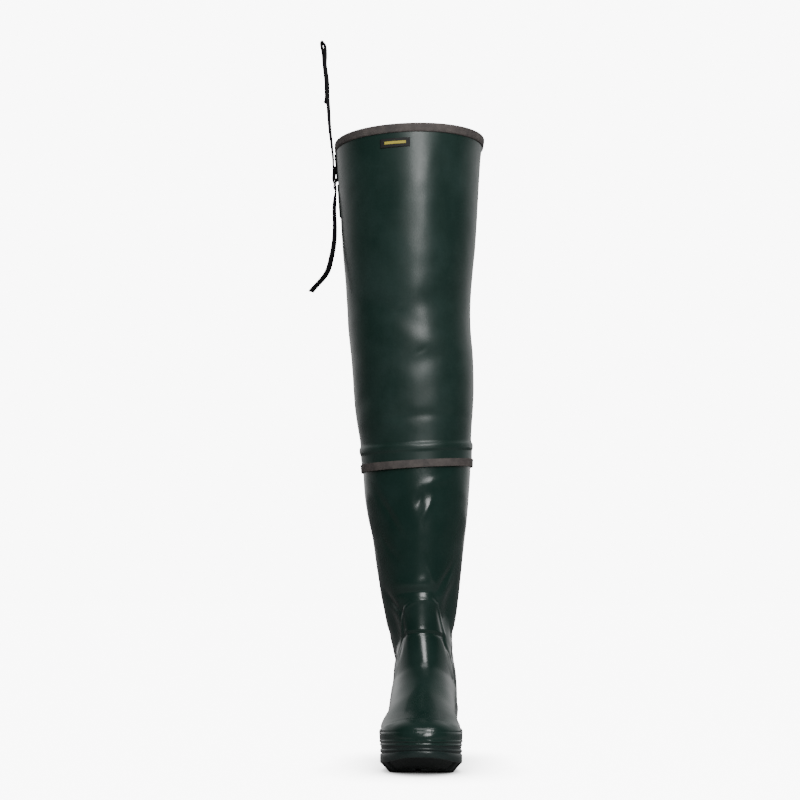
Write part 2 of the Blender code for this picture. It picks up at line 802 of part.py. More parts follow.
def make_shaft(rubber, tape, badge):
    top = RIM_Z - TRIM_THICK - GAP
    foot_z = LAP[-1][0]
    rise = RIM_Z - TRIM_HEIGHT - foot_z
    count = round(rise / THIGH_ROW_SPACING)
    heights = [foot_z + rise * i / count for i in range(1, count + 1)] + [top]
    outer = [(z, out) for z, out, _ in LAP] + [(z, 0.0) for z in heights]
    inner = [(z, out) for z, _, out in LAP] + [(z, -THIGH_WALL) for z in heights]
    hoop("thigh_shaft", outer + inner[::-1], rubber)

    inside = -THIGH_WALL - GAP
    hoop(
        "rim_trim",
        [
            (RIM_Z - TRIM_HEIGHT, GAP + TRIM_THICK),
            (RIM_Z, GAP + TRIM_THICK),
            (RIM_Z, inside - TRIM_THICK),
            (RIM_Z - TRIM_HEIGHT, inside - TRIM_THICK),
            (RIM_Z - TRIM_HEIGHT, inside),
            (RIM_Z - TRIM_THICK, inside),
            (RIM_Z - TRIM_THICK, GAP),
            (RIM_Z - TRIM_HEIGHT, GAP),
        ],
        tape,
    )
    near = LAP[0][1] + GAP
    hoop(
        "knee_trim",
        [
            (KNEE_TRIM_Z, near + TRIM_THICK),
            (KNEE_TRIM_Z + TRIM_HEIGHT, near + TRIM_THICK),
            (KNEE_TRIM_Z + TRIM_HEIGHT, near),
            (KNEE_TRIM_Z, near),
        ],
        tape,
    )

    low, high = BADGE_Z
    xs = np.linspace(*BADGE_X, 7)
    corners = [
        front_points(z, out, xs)
        for z, out in ((high, GAP + BADGE_THICK), (low, GAP + BADGE_THICK), (low, GAP), (high, GAP))
    ]
    loft("badge", [list(np.array(corners).transpose(1, 0, 2))], badge, closed=True, capped=True)

    ys = STRAP_Y + np.linspace(0.5, -0.5, 5) * PATCH_WIDTH
    rows = []
    for z in np.linspace(*PATCH_Z, 5):
        outside = skin_points(z, GAP + PATCH_THICK, -1, ys)
        rows.append(np.vstack([outside, skin_points(z, GAP, -1, ys[::-1])]))
    loft("anchor_patch", [rows], rubber, closed=True, capped=True)


# Straps and buckle


def make_buckle(metal):
    """A wire loop, wider than the strap, from its head bar to its foot bar."""
    head, foot_bar = np.array(BUCKLE_HEAD), np.array(BUCKLE_FOOT)
    half_width, length = BUCKLE_WIDTH / 2, float(np.hypot(*(foot_bar - head)))
    down = (foot_bar - head) / length
    places = []
    for across, along, start in ((1, 1, 0), (1, 0, -90), (-1, 0, -180), (-1, 1, -270)):
        centre = (across * (half_width - BUCKLE_CORNER), length * along - (2 * along - 1) * BUCKLE_CORNER)
        for step in range(4):
            angle = math.radians(90 + start - step * 30)
            places.append((centre[0] + BUCKLE_CORNER * math.cos(angle), centre[1] + BUCKLE_CORNER * math.sin(angle)))
    points = [(head[0] + down[0] * v, STRAP_Y + u, head[1] + down[1] * v) for u, v in places]
    curve = bpy.data.curves.new("buckle", "CURVE")
    curve.dimensions = "3D"
    curve.bevel_depth = BUCKLE_WIRE * MM
    curve.bevel_resolution = 2
    spline = curve.splines.new("POLY")
    spline.points.add(len(points) - 1)
    for target, point in zip(spline.points, points):
        target.co = (*(c * MM for c in point), 1.0)
    spline.use_cyclic_u = True
    add_object("buckle", curve, metal)


def main():
    for thing in list(bpy.data.objects):
        bpy.data.objects.remove(thing)
    for name in ("hip_wader", "cutters"):
        bpy.context.scene.collection.children.link(bpy.data.collections.new(name))
    bpy.data.collections["cutters"].hide_render = True

    rubber = material("green_rubber", (0.018, 0.045, 0.036), 0.32)
    sole_rubber = material("sole_rubber", (0.016, 0.036, 0.030), 0.45)
    felt = material("insole_felt", (0.09, 0.09, 0.085), 0.95)
    tape = material("taupe_tape", (0.09, 0.075, 0.07), 0.8)
    badge = material("badge_weave", (0.01, 0.01, 0.01), 0.7)
    webbing = material("black_webbing", (0.012, 0.012, 0.013), 0.8)
    metal = material("black_metal", (0.03, 0.03, 0.032), 0.35, 0.9)

    make_sole(sole_rubber, felt)
    make_boot(rubber)
    make_shaft(rubber, tape, badge)
    ribbon("side_strap", SIDE_STRAP, STRAP_WIDTH, STRAP_THICK, webbing)
    ribbon("anchor_strap", ANCHOR_STRAP, STRAP_WIDTH, STRAP_THICK, webbing)
    make_buckle(metal)
    for thing in bpy.data.collections["cutters"].objects:
        thing.hide_render = True
        thing.display_type = "WIRE"
    for thing in bpy.data.objects:
        thing.location.y = -HEEL_REST_Y * MM


main()
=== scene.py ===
"""The looks of the rubber hip wader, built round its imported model.

Shape tables are in millimetres in the boot's own frame: +Z up, toe to -Y, outer side -X, the heel's back
edge at y = HEEL_BACK_Y. Meshes are in metres, moved by -HEEL_REST_Y so that the heel rests on the origin.
"""

import math
from collections import namedtuple
import bmesh
import bpy
import numpy as np
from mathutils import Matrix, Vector, noise


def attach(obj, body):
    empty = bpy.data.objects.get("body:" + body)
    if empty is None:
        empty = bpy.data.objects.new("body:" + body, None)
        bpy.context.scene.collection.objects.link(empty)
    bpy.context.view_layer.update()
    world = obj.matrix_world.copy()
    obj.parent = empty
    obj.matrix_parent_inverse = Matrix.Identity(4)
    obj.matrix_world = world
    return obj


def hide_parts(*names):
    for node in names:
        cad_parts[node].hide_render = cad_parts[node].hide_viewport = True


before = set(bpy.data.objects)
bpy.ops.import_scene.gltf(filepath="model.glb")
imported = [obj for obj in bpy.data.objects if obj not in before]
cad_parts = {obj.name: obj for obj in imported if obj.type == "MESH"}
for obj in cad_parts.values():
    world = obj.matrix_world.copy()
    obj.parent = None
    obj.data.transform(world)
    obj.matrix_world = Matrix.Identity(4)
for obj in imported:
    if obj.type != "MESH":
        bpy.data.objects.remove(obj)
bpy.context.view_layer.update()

MM = 0.001

# Driving sizes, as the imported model's
SOLE_LENGTH = 300.0
HEEL_BACK_Y = 92.0
HEEL_REST_Y = 45.0
RIM_Z = 903.0
BOOT_TOP_Z = 447.0
THROAT_Z = 140.0
WALL = 2.5
THIGH_WALL = 1.3
GAP = 0.3
FEATHER_INSET = 2.0

# The leg from the heel up, a row for each height. Half width and middle line are as seen from the front,
# back and front lines as seen from the side. The powers round the section's front and back, 2 is an
# ellipse and less is more pointed. Slant is how much a level line rises towards the inner side.
LEG_COLUMNS = "z half centre back front front_power back_power slant"
LEG = [
    (36, 41.0, 0.3, 92.0, -74.0, 2.00, 2.50, 0.000),
    (80, 47.2, 1.6, 91.0, -70.0, 2.00, 2.40, 0.000),
    (112, 45.6, 2.8, 85.5, -63.0, 2.00, 2.20, 0.000),
    (140, 42.2, 2.2, 81.0, -51.5, 2.00, 2.10, 0.000),
    (168, 44.0, -1.7, 80.5, -43.5, 2.00, 2.05, 0.000),
    (190, 48.1, -3.2, 82.5, -40.5, 2.00, 2.00, 0.005),
    (207, 51.4, -3.4, 84.5, -39.0, 2.00, 2.00, 0.010),
    (242, 57.4, -4.6, 89.0, -38.0, 2.00, 2.00, 0.020),
    (276, 62.3, -5.0, 93.0, -38.0, 2.00, 2.00, 0.025),
    (311, 66.6, -5.8, 95.5, -38.0, 2.00, 2.05, 0.035),
    (346, 72.5, -7.3, 98.0, -37.5, 2.00, 2.10, 0.040),
    (380, 76.4, -8.2, 99.5, -37.0, 2.05, 2.10, 0.050),
    (412, 78.3, -8.4, 100.0, -36.5, 2.05, 2.10, 0.055),
    (447, 80.6, -9.8, 101.0, -38.0, 2.05, 2.10, 0.045),
    (515, 87.3, -12.9, 105.0, -43.0, 2.05, 2.10, 0.035),
    (574, 89.5, -15.3, 109.0, -48.0, 2.05, 2.10, 0.025),
    (634, 90.2, -19.8, 113.0, -52.5, 2.05, 2.10, 0.020),
    (679, 92.4, -20.5, 116.0, -57.0, 2.05, 2.10, 0.020),
    (754, 99.2, -19.6, 121.0, -64.0, 2.05, 2.10, 0.025),
    (814, 103.0, -19.6, 126.0, -69.5, 2.05, 2.10, 0.030),
    (875, 107.8, -20.2, 131.0, -74.0, 2.05, 2.10, 0.030),
    (905, 110.6, -18.8, 133.0, -76.0, 2.05, 2.10, 0.030),
]

# Height of each leg section at the back and at the front: the lower ones lean, as the ankle's do
LEAN_COLUMNS = "back_z front_z"
LEAN = [
    (36, 138.2),
    (60, 163),
    (90, 186),
    (130, 214),
    (180, 247),
    (240, 287),
    (300, 328),
    (350, 362),
    (400, 400),
    (910, 910),
]

# The foot, a row for each station of the sole's edge: where its section meets the top line, its widest
# half width, how far up that lies, and the power that rounds the top
FOOT_COLUMNS = "y top_y side side_at top_power"
FOOT = [
    (-208, -208.0, 54, 0.36, 2.60),
    (-170, -170.0, 54, 0.34, 2.50),
    (-125, -125.0, 53.5, 0.34, 2.35),
    (-60, -89.0, 47.0, 0.42, 2.15),
    (0, -69.0, 46.5, 0.46, 2.05),
    (50, -58.5, 47.0, 0.46, 2.00),
    (92, -51.5, 47.1, 0.45, 2.00),
]
TOP_LINE_COLUMNS = "y z"
TOP_LINE = [
    (-208, 66.0),
    (-190, 69.0),
    (-165, 72.5),
    (-140, 77.5),
    (-118, 85.0),
    (-98, 94.5),
    (-82, 104.0),
    (-69, 115.0),
    (-59.5, 126.5),
    (-51.5, 140.0),
    (-43.5, 168.0),
]
TOE_ROUND = 20.0
TOE_ROUND_START_Y = -185.0
INSTEP_X = 4.0

# The sole's outline from the heel back, with both ends closed by superelliptic caps
OUTLINE_COLUMNS = "station half centre"
OUTLINE = [
    (0, 37.5, 0.0),
    (40, 38.5, 0.0),
    (80, 37.5, 0.0),
    (120, 36.5, -1.0),
    (160, 43.5, -1.0),
    (200, 52.0, 0.5),
    (230, 54.5, 2.5),
    (260, 52.5, 4.0),
    (285, 48.0, 5.0),
    (300, 45.0, 5.5),
]
HEEL_CAP, HEEL_CAP_POWER = 38.0, 2.1
TOE_CAP, TOE_CAP_POWER = 66.0, 2.35

# The sole from the side: underside of its body, and the edge that the upper stands on
SOLE_COLUMNS = "y under edge"
SOLE = [
    (-208, 24.5, 40.0),
    (-180, 16.5, 37.0),
    (-150, 12.0, 34.5),
    (-120, 8.5, 33.0),
    (-62, 7.0, 33.0),
    (-48, 15.0, 33.3),
    (12, 15.0, 35.0),
    (24, 7.0, 35.6),
    (92, 7.0, 37.5),
]
TREAD_SPRING = 19.0
TREAD_SPRING_START_Y = -145.0

SECTION_VALUES = "end_y end_z top_y top_z ends_x side_x side_half side_at top_x low_power top_power slant"
Section = namedtuple("Section", SECTION_VALUES)


def smooth(xs, ys):
    """A curve through the points that keeps rising or falling stretches so (monotone cubic)."""
    xs, ys = np.array(xs, float), np.array(ys, float)
    step = np.diff(xs)
    slope = np.diff(ys) / step
    tangent = np.zeros(len(xs))
    tangent[0], tangent[-1] = slope[0], slope[-1]
    for i in range(1, len(xs) - 1):
        if slope[i - 1] * slope[i] > 0:
            before, after = 2 * step[i] + step[i - 1], step[i] + 2 * step[i - 1]
            tangent[i] = (before + after) / (before / slope[i - 1] + after / slope[i])

    def at(x):
        x = np.clip(x, xs[0], xs[-1])
        i = np.clip(np.searchsorted(xs, x) - 1, 0, len(step) - 1)
        t = (x - xs[i]) / step[i]
        rise = t * t * (3 - 2 * t)
        return (
            ys[i] * (1 - rise)
            + ys[i + 1] * rise
            + step[i] * (tangent[i] * t * (1 - t) ** 2 - tangent[i + 1] * t * t * (1 - t))
        )

    return at


def smooth_path(points, spacing):
    """Evenly spaced points on a smooth curve through the given ones."""
    points = np.array(points, float)
    ends = [2 * points[0] - points[1], *points, 2 * points[-1] - points[-2]]
    fine = []
    for a, b, c, d in zip(ends, ends[1:], ends[2:], ends[3:]):
        square, cube = 2 * a - 5 * b + 4 * c - d, 3 * b - a - 3 * c + d
        for t in np.linspace(0, 1, 24, endpoint=False):
            fine.append(0.5 * (2 * b + (c - a) * t + square * t**2 + cube * t**3))
    fine = np.array([*fine, points[-1]])
    run = np.concatenate([[0], np.cumsum(np.linalg.norm(np.diff(fine, axis=0), axis=1))])
    at = np.linspace(0, run[-1], round(run[-1] / spacing) + 1)
    return np.array([np.interp(at, run, fine[:, k]) for k in range(2)]).T


def curves(columns, rows):
    """One smooth curve for each named column after the first, over the first."""
    names = columns.split()
    table = np.array(rows, float)
    return {name: smooth(table[:, 0], table[:, i]) for i, name in enumerate(names) if i}


leg = curves(LEG_COLUMNS, LEG)
lean = curves(LEAN_COLUMNS, LEAN)["front_z"]
foot = curves(FOOT_COLUMNS, FOOT)
top_line = curves(TOP_LINE_COLUMNS, TOP_LINE)["z"]
outline = curves(OUTLINE_COLUMNS, OUTLINE)
sole = curves(SOLE_COLUMNS, SOLE)


def ease(x, start, end):
    t = min(1.0, max(0.0, (x - start) / (end - start)))
    return t * t * (3 - 2 * t)


# Outline of the sole


def edge_point(q, side, inset=0.0):
    """(x, y) on the sole's outline. q runs from 0 at the toe tip to 1 at the heel's back.

    The side is -1 for the outer one and 1 for the inner one.
    """

    def raw(q):
        station = SOLE_LENGTH * (1 + math.cos(math.pi * q)) / 2
        half = float(outline["half"](station))
        if station < HEEL_CAP:
            half *= (1 - (1 - station / HEEL_CAP) ** HEEL_CAP_POWER) ** (1 / HEEL_CAP_POWER)
        if station > SOLE_LENGTH - TOE_CAP:
            part = (station - SOLE_LENGTH + TOE_CAP) / TOE_CAP
            half *= max(0.0, 1 - part**TOE_CAP_POWER) ** (1 / TOE_CAP_POWER)
        return np.array([float(outline["centre"](station)) + side * half, HEEL_BACK_Y - station])

    step = 1e-4
    if q < step:
        normal = np.array([0.0, -1.0])
    elif q > 1 - step:
        normal = np.array([0.0, 1.0])
    else:
        along = raw(q + step) - raw(q - step)
        normal = side * np.array([along[1], -along[0]]) / np.hypot(*along)
    return raw(q) - inset * normal


def station_q(y):
    """The q of the outline at a station y."""
    return math.acos(2 * (HEEL_BACK_Y - y) / SOLE_LENGTH - 1) / math.pi


# Sections of the boot and shaft


def toe_top(y):
    """Height of the top line at a station, rounded down at the toe tip."""
    z = float(top_line(y))
    tip_y = HEEL_BACK_Y - SOLE_LENGTH + FEATHER_INSET
    if y < TOE_ROUND_START_Y:
        part = min(1.0, (TOE_ROUND_START_Y - y) / (TOE_ROUND_START_Y - tip_y))
        z -= TOE_ROUND * (1 - math.sqrt(1 - part**2.2))
    return z


def foot_section(q):
    """The arch over the foot that stands on the sole's edge at q, leaning forward behind the ball."""
    ends = [edge_point(q, side, FEATHER_INSET) for side in (-1, 1)]
    y = float(ends[0][1] + ends[1][1]) / 2
    middle = float(ends[0][0] + ends[1][0]) / 2
    half = float(ends[1][0] - ends[0][0]) / 2
    to_heel = ease(y, -60, 40)
    past_ball = ease(y, -150, -90)
    end_z = float(sole["edge"](y)) + GAP
    top_y = float(foot["top_y"](y))
    side_at = float(foot["side_at"](y))
    side_z = end_z + side_at * (toe_top(top_y) - end_z)
    throat_x = float(leg["centre"](THROAT_Z))
    return Section(
        end_y=y,
        end_z=end_z,
        top_y=top_y,
        top_z=toe_top(top_y),
        ends_x=(float(ends[0][0]), float(ends[1][0])),
        side_x=middle + (float(leg["centre"](side_z)) - middle) * past_ball,
        side_half=half * 1.015 * (1 - past_ball) + float(foot["side"](y)) * past_ball,
        side_at=side_at,
        top_x=middle + (INSTEP_X - middle) * ease(y, -150, 0) + (throat_x - INSTEP_X) * ease(y, 20, 88),
        low_power=2.0 + 0.5 * to_heel,
        top_power=float(foot["top_power"](y)),
        slant=0.0,
    )


def leg_section(z):
    """The closed ring whose back lies at height z."""
    front_z = float(lean(z))
    low = float(sole["edge"](HEEL_BACK_Y)) + GAP
    rise = ease(z, low, 110)
    side_at = 0.45 + 0.05 * rise
    side_z = z + side_at * (front_z - z)
    heel_x = float(edge_point(1, 1)[0])
    back_x = heel_x + (float(leg["centre"](z)) - heel_x) * rise
    return Section(
        end_y=float(leg["back"](z)) - FEATHER_INSET * (1 - rise),
        end_z=z,
        top_y=float(leg["front"](front_z)),
        top_z=front_z,
        ends_x=(back_x, back_x),
        side_x=float(leg["centre"](side_z)),
        side_half=float(leg["half"](side_z)),
        side_at=side_at,
        top_x=float(leg["centre"](front_z)),
        low_power=float(leg["back_power"](z)),
        top_power=float(leg["front_power"](front_z)),
        slant=float(leg["slant"](side_z)),
    )


def half_line(section, side, samples=72):
    """Close points over one half of a section, from its end at the sole or back to its top or front."""
    s = section
    end = np.array([s.end_y, s.end_z])
    span = np.array([s.top_y, s.top_z]) - end
    end_x = s.ends_x[0] if side < 0 else s.ends_x[1]
    side_x = s.side_x + side * s.side_half
    points = []
    for i in range(samples):
        angle = i / samples * math.pi / 2
        out = math.sin(angle) ** (2 / s.low_power)
        up = 1 - math.cos(angle) ** (2 / s.low_power)
        points.append((end_x + (side_x - end_x) * out, s.side_at * up))
    for i in range(samples + 1):
        angle = i / samples * math.pi / 2
        out = math.cos(angle) ** (2 / s.top_power) if i < samples else 0.0
        up = math.sin(angle) ** (2 / s.top_power)
        points.append((s.top_x + (side_x - s.top_x) * out, s.side_at + (1 - s.side_at) * up))
    made = []
    for x, part in points:
        y, z = end + span * part
        made.append((x, y, z + s.slant * (x - s.side_x)))
    return np.array(made)


# Grids of the skin


def side_line(section, side, columns):
    """Evenly spaced points on one half of a section, and how far each lies from the front or top line."""
    line = half_line(section, side, samples=150)
    run = np.concatenate([[0], np.cumsum(np.linalg.norm(np.diff(line, axis=0), axis=1))])
    at = np.linspace(0, run[-1], columns + 1)
    points = np.array([np.interp(at, run, line[:, k]) for k in range(3)]).T
    return points, side * (run[-1] - at)


def skin_grid(sections, columns):
    """Points (row, column, xyz) round each section, and their reach: the distance round it from the front
    line, negative on the outer side.
    """
    points, reach = [], []
    for section in sections:
        outer, outer_reach = side_line(section, -1, columns)
        inner, inner_reach = side_line(section, 1, columns)
        points.append(np.vstack([outer, inner[-2::-1]]))
        reach.append(np.concatenate([outer_reach, inner_reach[-2::-1]]))
    return np.array(points), np.array(reach)


def moved_out(section, out):
    return section._replace(
        end_y=section.end_y + out,
        top_y=section.top_y - out,
        side_half=section.side_half + out,
    )


def level_grid(profile, columns):
    """Rings round the leg for a list of (height, distance out from the skin)."""
    return skin_grid([moved_out(leg_section(z), out) for z, out in profile], columns)


def grid_normals(points):
    """Outward normals of a skin grid."""
    across = np.gradient(points, axis=1)
    along = np.gradient(points, axis=0)
    normal = np.cross(across, along)
    length = np.linalg.norm(normal, axis=2, keepdims=True)
    return normal / np.maximum(length, 1e-9)


def level_normals(points):
    """Outward normals of level rings, kept level."""
    across = np.gradient(points, axis=1)
    across[:, 0] = across[:, -1] = points[:, 1] - points[:, -2]
    normal = np.stack([across[..., 1], -across[..., 0], np.zeros(points.shape[:2])], axis=2)
    return normal / np.maximum(np.linalg.norm(normal, axis=2, keepdims=True), 1e-9)


def step(distance, width):
    """0 before the edge and 1 past it, with an edge of that width."""
    t = np.clip(distance / width + 0.5, 0, 1)
    return t * t * (3 - 2 * t)


def soft_marks(columns, rows, across, up):
    """Sum of soft troughs and ridges: centre, direction, length, width and depth of each."""
    total = np.zeros(across.shape)
    names = columns.split()
    for row in rows:
        mark = dict(zip(names, row))
        turn = math.radians(mark["angle"])
        da, du = across - mark["s"], up - mark["at"]
        long = da * math.cos(turn) + du * math.sin(turn)
        part = (long / mark["length"]) ** 2
        wide = -da * math.sin(turn) + du * math.cos(turn) + mark["bow"] * part
        total += mark["depth"] * np.exp(-part) * np.exp(-((wide / mark["width"]) ** 2))
    return total


def unevenness(points, size, height, seed):
    """Gentle unevenness of the surface, with humps of about that size."""
    shift = Vector((seed * 7.3, seed * 3.1, seed * 5.7))
    flat = points.reshape(-1, 3)
    heights = [noise.noise(Vector(p) / size + shift) for p in flat.tolist()]
    return np.array(heights).reshape(points.shape[:2]) * height


# Objects


def finish_mesh(name, bm, finish, smooth_faces=True):
    bmesh.ops.remove_doubles(bm, verts=bm.verts, dist=2e-6)
    bmesh.ops.dissolve_degenerate(bm, edges=bm.edges, dist=1e-7)
    mesh = bpy.data.meshes.new(name)
    bm.to_mesh(mesh)
    bm.free()
    mesh.polygons.foreach_set("use_smooth", [smooth_faces] * len(mesh.polygons))
    mesh.materials.append(finish)
    made = bpy.data.objects.new(name, mesh)
    bpy.context.scene.collection.objects.link(made)
    return made


def placed(point):
    """A point of the shape tables as the frame's metres."""
    return (point[0] * MM, (point[1] - HEEL_REST_Y) * MM, point[2] * MM)


def sheet(name, strips, finish, closed=False, capped=False, smooth_faces=True):
    """A surface over strips of rows of points. Points that meet are joined."""
    bm = bmesh.new()
    for strip in strips:
        rows = [[bm.verts.new(placed(p)) for p in row] for row in strip]
        columns = len(rows[0])
        for near, far in zip(rows, rows[1:]):
            for i in range(columns if closed else columns - 1):
                j = (i + 1) % columns
                bm.faces.new((near[i], near[j], far[j], far[i]))
        if capped:
            bm.faces.new(rows[0][::-1])
            bm.faces.new(rows[-1])
    return finish_mesh(name, bm, finish, smooth_faces)


def thicken(target, thickness):
    """Gives a skin a wall on its inner side."""
    wall = target.modifiers.new("wall", "SOLIDIFY")
    wall.thickness = thickness * MM
    wall.offset = -1.0


def put(target, slot, *nodes):
    """The piece rides on the one body and stands for the given nodes. The slot is not used."""
    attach(target, "root")
    if nodes:
        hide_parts(*nodes)


# Materials


def new_material(name, colour, roughness, **values):
    made = bpy.data.materials.new(name)
    made.use_nodes = True
    shader = made.node_tree.nodes["Principled BSDF"]
    shader.inputs["Base Color"].default_value = (*colour, 1.0)
    shader.inputs["Roughness"].default_value = roughness
    for key, value in values.items():
        shader.inputs[key.replace("_", " ")].default_value = value
    return made


def node(tree, kind, **settings):
    made = tree.nodes.new(kind)
    for key, value in settings.items():
        if key in made.inputs:
            made.inputs[key].default_value = value
        else:
            setattr(made, key, value)
    return made


def object_space(tree):
    return node(tree, "ShaderNodeTexCoord").outputs["Object"]


def noise_of(tree, scale, detail=3.0, rough=0.5, stretch=(1, 1, 1)):
    mapping = node(tree, "ShaderNodeMapping")
    mapping.inputs["Scale"].default_value = stretch
    tree.links.new(object_space(tree), mapping.inputs["Vector"])
    made = node(tree, "ShaderNodeTexNoise", Scale=scale, Detail=detail, Roughness=rough)
    tree.links.new(mapping.outputs["Vector"], made.inputs["Vector"])
    return made.outputs["Fac"]


def ramp(tree, source, low, high, low_value, high_value):
    made = node(tree, "ShaderNodeMapRange")
    made.inputs["From Min"].default_value = low
    made.inputs["From Max"].default_value = high
    made.inputs["To Min"].default_value = low_value
    made.inputs["To Max"].default_value = high_value
    tree.links.new(source, made.inputs["Value"])
    return made.outputs["Result"]


def mix_colours(tree, factor, first, second):
    made = node(tree, "ShaderNodeMix", data_type="RGBA")
    tree.links.new(factor, made.inputs["Factor"])
    for socket, value in zip((made.inputs[6], made.inputs[7]), (first, second)):
        if isinstance(value, tuple):
            socket.default_value = (*value, 1.0)
        else:
            tree.links.new(value, socket)
    return made.outputs[2]


def bumped(made, heights):
    """Adds up bumps of (height source, strength, distance in mm) on the material's surface."""
    tree = made.node_tree
    shader = tree.nodes["Principled BSDF"]
    last = None
    for source, strength, distance in heights:
        bump = node(tree, "ShaderNodeBump", Strength=strength, Distance=distance * MM)
        tree.links.new(source, bump.inputs["Height"])
        if last:
            tree.links.new(last, bump.inputs["Normal"])
        last = bump.outputs["Normal"]
    tree.links.new(last, shader.inputs["Normal"])


# The rubbers: name, colour, colour of the bloom, range of roughness, strength of the orange peel
RUBBERS = [
    ("green_rubber", (0.009, 0.028, 0.022), (0.016, 0.038, 0.032), (0.15, 0.30), 0.04),
    ("shaft_rubber", (0.010, 0.030, 0.024), (0.020, 0.044, 0.038), (0.30, 0.44), 0.06),
    ("sole_rubber", (0.008, 0.019, 0.017), (0.018, 0.032, 0.030), (0.24, 0.45), 0.10),
    # The tread rubber is darker than the sole's: partly the lugs' own black, and partly painted shade for the
    # shadow under the sole
    ("tread_rubber_painted_shade", (0.003, 0.006, 0.005), (0.008, 0.012, 0.011), (0.50, 0.70), 0.15),
]


def rubber_material(name, colour, bloom, gloss_range, bump):
    """Dark moulded rubber: a faint lighter bloom in patches, gloss that varies, fine orange peel."""
    made = new_material(name, colour, gloss_range[0])
    tree = made.node_tree
    shader = tree.nodes["Principled BSDF"]
    patches = noise_of(tree, 14.0, 5.0, 0.6)
    colours = mix_colours(tree, ramp(tree, patches, 0.42, 0.7, 0.0, 1.0), colour, bloom)
    tree.links.new(colours, shader.inputs["Base Color"])
    smears = noise_of(tree, 22.0, 6.0, 0.65, (1, 1, 0.35))
    tree.links.new(ramp(tree, smears, 0.3, 0.75, *gloss_range), shader.inputs["Roughness"])
    fine_peel, broad_peel = noise_of(tree, 260.0, 2.0), noise_of(tree, 45.0, 3.0)
    bumped(made, [(fine_peel, bump, 0.25), (broad_peel, bump, 0.9)])
    return made


def tape_material():
    """Taupe binding tape with a fine cross weave and worn, lighter threads."""
    made = new_material("taupe_tape", (0.085, 0.072, 0.068), 0.75)
    tree = made.node_tree
    shader = tree.nodes["Principled BSDF"]
    wear = noise_of(tree, 60.0, 6.0, 0.7)
    worn = ramp(tree, wear, 0.35, 0.7, 0.0, 1.0)
    colours = mix_colours(tree, worn, (0.062, 0.054, 0.052), (0.125, 0.106, 0.098))
    tree.links.new(colours, shader.inputs["Base Color"])
    upright = node(tree, "ShaderNodeTexWave", Scale=420.0, bands_direction="Z")
    around = node(tree, "ShaderNodeTexWave", Scale=420.0, bands_direction="DIAGONAL")
    for weave in (upright, around):
        tree.links.new(object_space(tree), weave.inputs["Vector"])
    bumped(made, [(upright.outputs["Fac"], 0.35, 0.25), (around.outputs["Fac"], 0.3, 0.2), (wear, 0.3, 0.4)])
    return made


def webbing_material():
    """Black woven webbing with ribs across and a little grey fuzz."""
    made = new_material("black_webbing", (0.012, 0.012, 0.013), 0.8)
    tree = made.node_tree
    shader = tree.nodes["Principled BSDF"]
    fuzz = noise_of(tree, 400.0, 4.0, 0.7)
    fuzzy = ramp(tree, fuzz, 0.4, 0.7, 0.0, 1.0)
    colours = mix_colours(tree, fuzzy, (0.007, 0.007, 0.008), (0.02, 0.02, 0.022))
    tree.links.new(colours, shader.inputs["Base Color"])
    shader.inputs["Specular IOR Level"].default_value = 0.1
    across = node(tree, "ShaderNodeTexWave", Scale=320.0, bands_direction="Z")
    along = node(tree, "ShaderNodeTexWave", Scale=260.0, bands_direction="Y")
    for weave in (across, along):
        tree.links.new(object_space(tree), weave.inputs["Vector"])
    bumped(made, [(across.outputs["Fac"], 0.25, 0.2), (along.outputs["Fac"], 0.15, 0.15)])
    return made


def felt_material():
    """Grey pressed felt with loose fibres."""
    made = new_material("insole_felt", (0.09, 0.09, 0.085), 0.95)
    tree = made.node_tree
    fibres = noise_of(tree, 500.0, 5.0, 0.8)
    colours = mix_colours(tree, fibres, (0.06, 0.06, 0.057), (0.13, 0.13, 0.12))
    tree.links.new(colours, tree.nodes["Principled BSDF"].inputs["Base Color"])
    bumped(made, [(fibres, 0.6, 0.5)])
    return made


# Boot


# Soft creases: s is the distance round the leg from its front line, negative on the outer
# side, and at the height. The angle is the crease's direction from level; a negative depth is a trough.
MARK_COLUMNS = "s at angle length width depth bow"
LEG_MARKS = [
    (34, 203, -72, 26, 4.5, -2.2, 0),
    (46, 165, -74, 24, 4.5, -1.6, 0),
    (58, 222, 80, 40, 17.0, -5.0, 0),
    (-27, 193, 90, 24, 4.5, -2.0, 0),
    (-38, 158, 61, 20, 4.5, -1.6, 0),
    (-55, 202, -80, 38, 16.0, -4.0, 0),
    (44, 255, 50, 26, 5.0, -2.6, 0),
    (54, 244, 50, 26, 8.0, 1.6, 0),
    (-46, 220, -36, 26, 5.0, -2.0, 0),
    (-52, 207, -36, 24, 8.0, 1.2, 0),
    (20, 257, -63, 14, 3.5, 1.0, 0),
    (-6, 236, 3, 32, 4.5, -1.5, 0),
    (-12, 248, 4, 38, 9.0, 1.2, 0),
    (-46, 356, -55, 34, 6.0, -1.8, 3),
    (-35, 350, -55, 30, 7.0, 1.2, 3),
    (6, 366, 70, 14, 6.0, -1.2, 0),
    (16, 352, 62, 16, 5.0, 1.0, 0),
    (-48, 300, -50, 26, 6.0, -1.0, 0),
    (30, 392, 20, 26, 7.0, 0.8, 0),
    (52, 330, 80, 60, 12.0, -1.0, 0),
]
SIDE_MARKS = [
    (84, 148, 20, 26, 6.0, -1.2, 0),
    (-84, 148, -20, 26, 6.0, -1.2, 0),
    (100, 176, 14, 34, 7.0, -1.2, 0),
    (-100, 176, -14, 34, 7.0, -1.2, 0),
    (92, 250, 70, 40, 10.0, -1.0, 0),
    (-96, 300, -70, 50, 10.0, -1.0, 0),
]

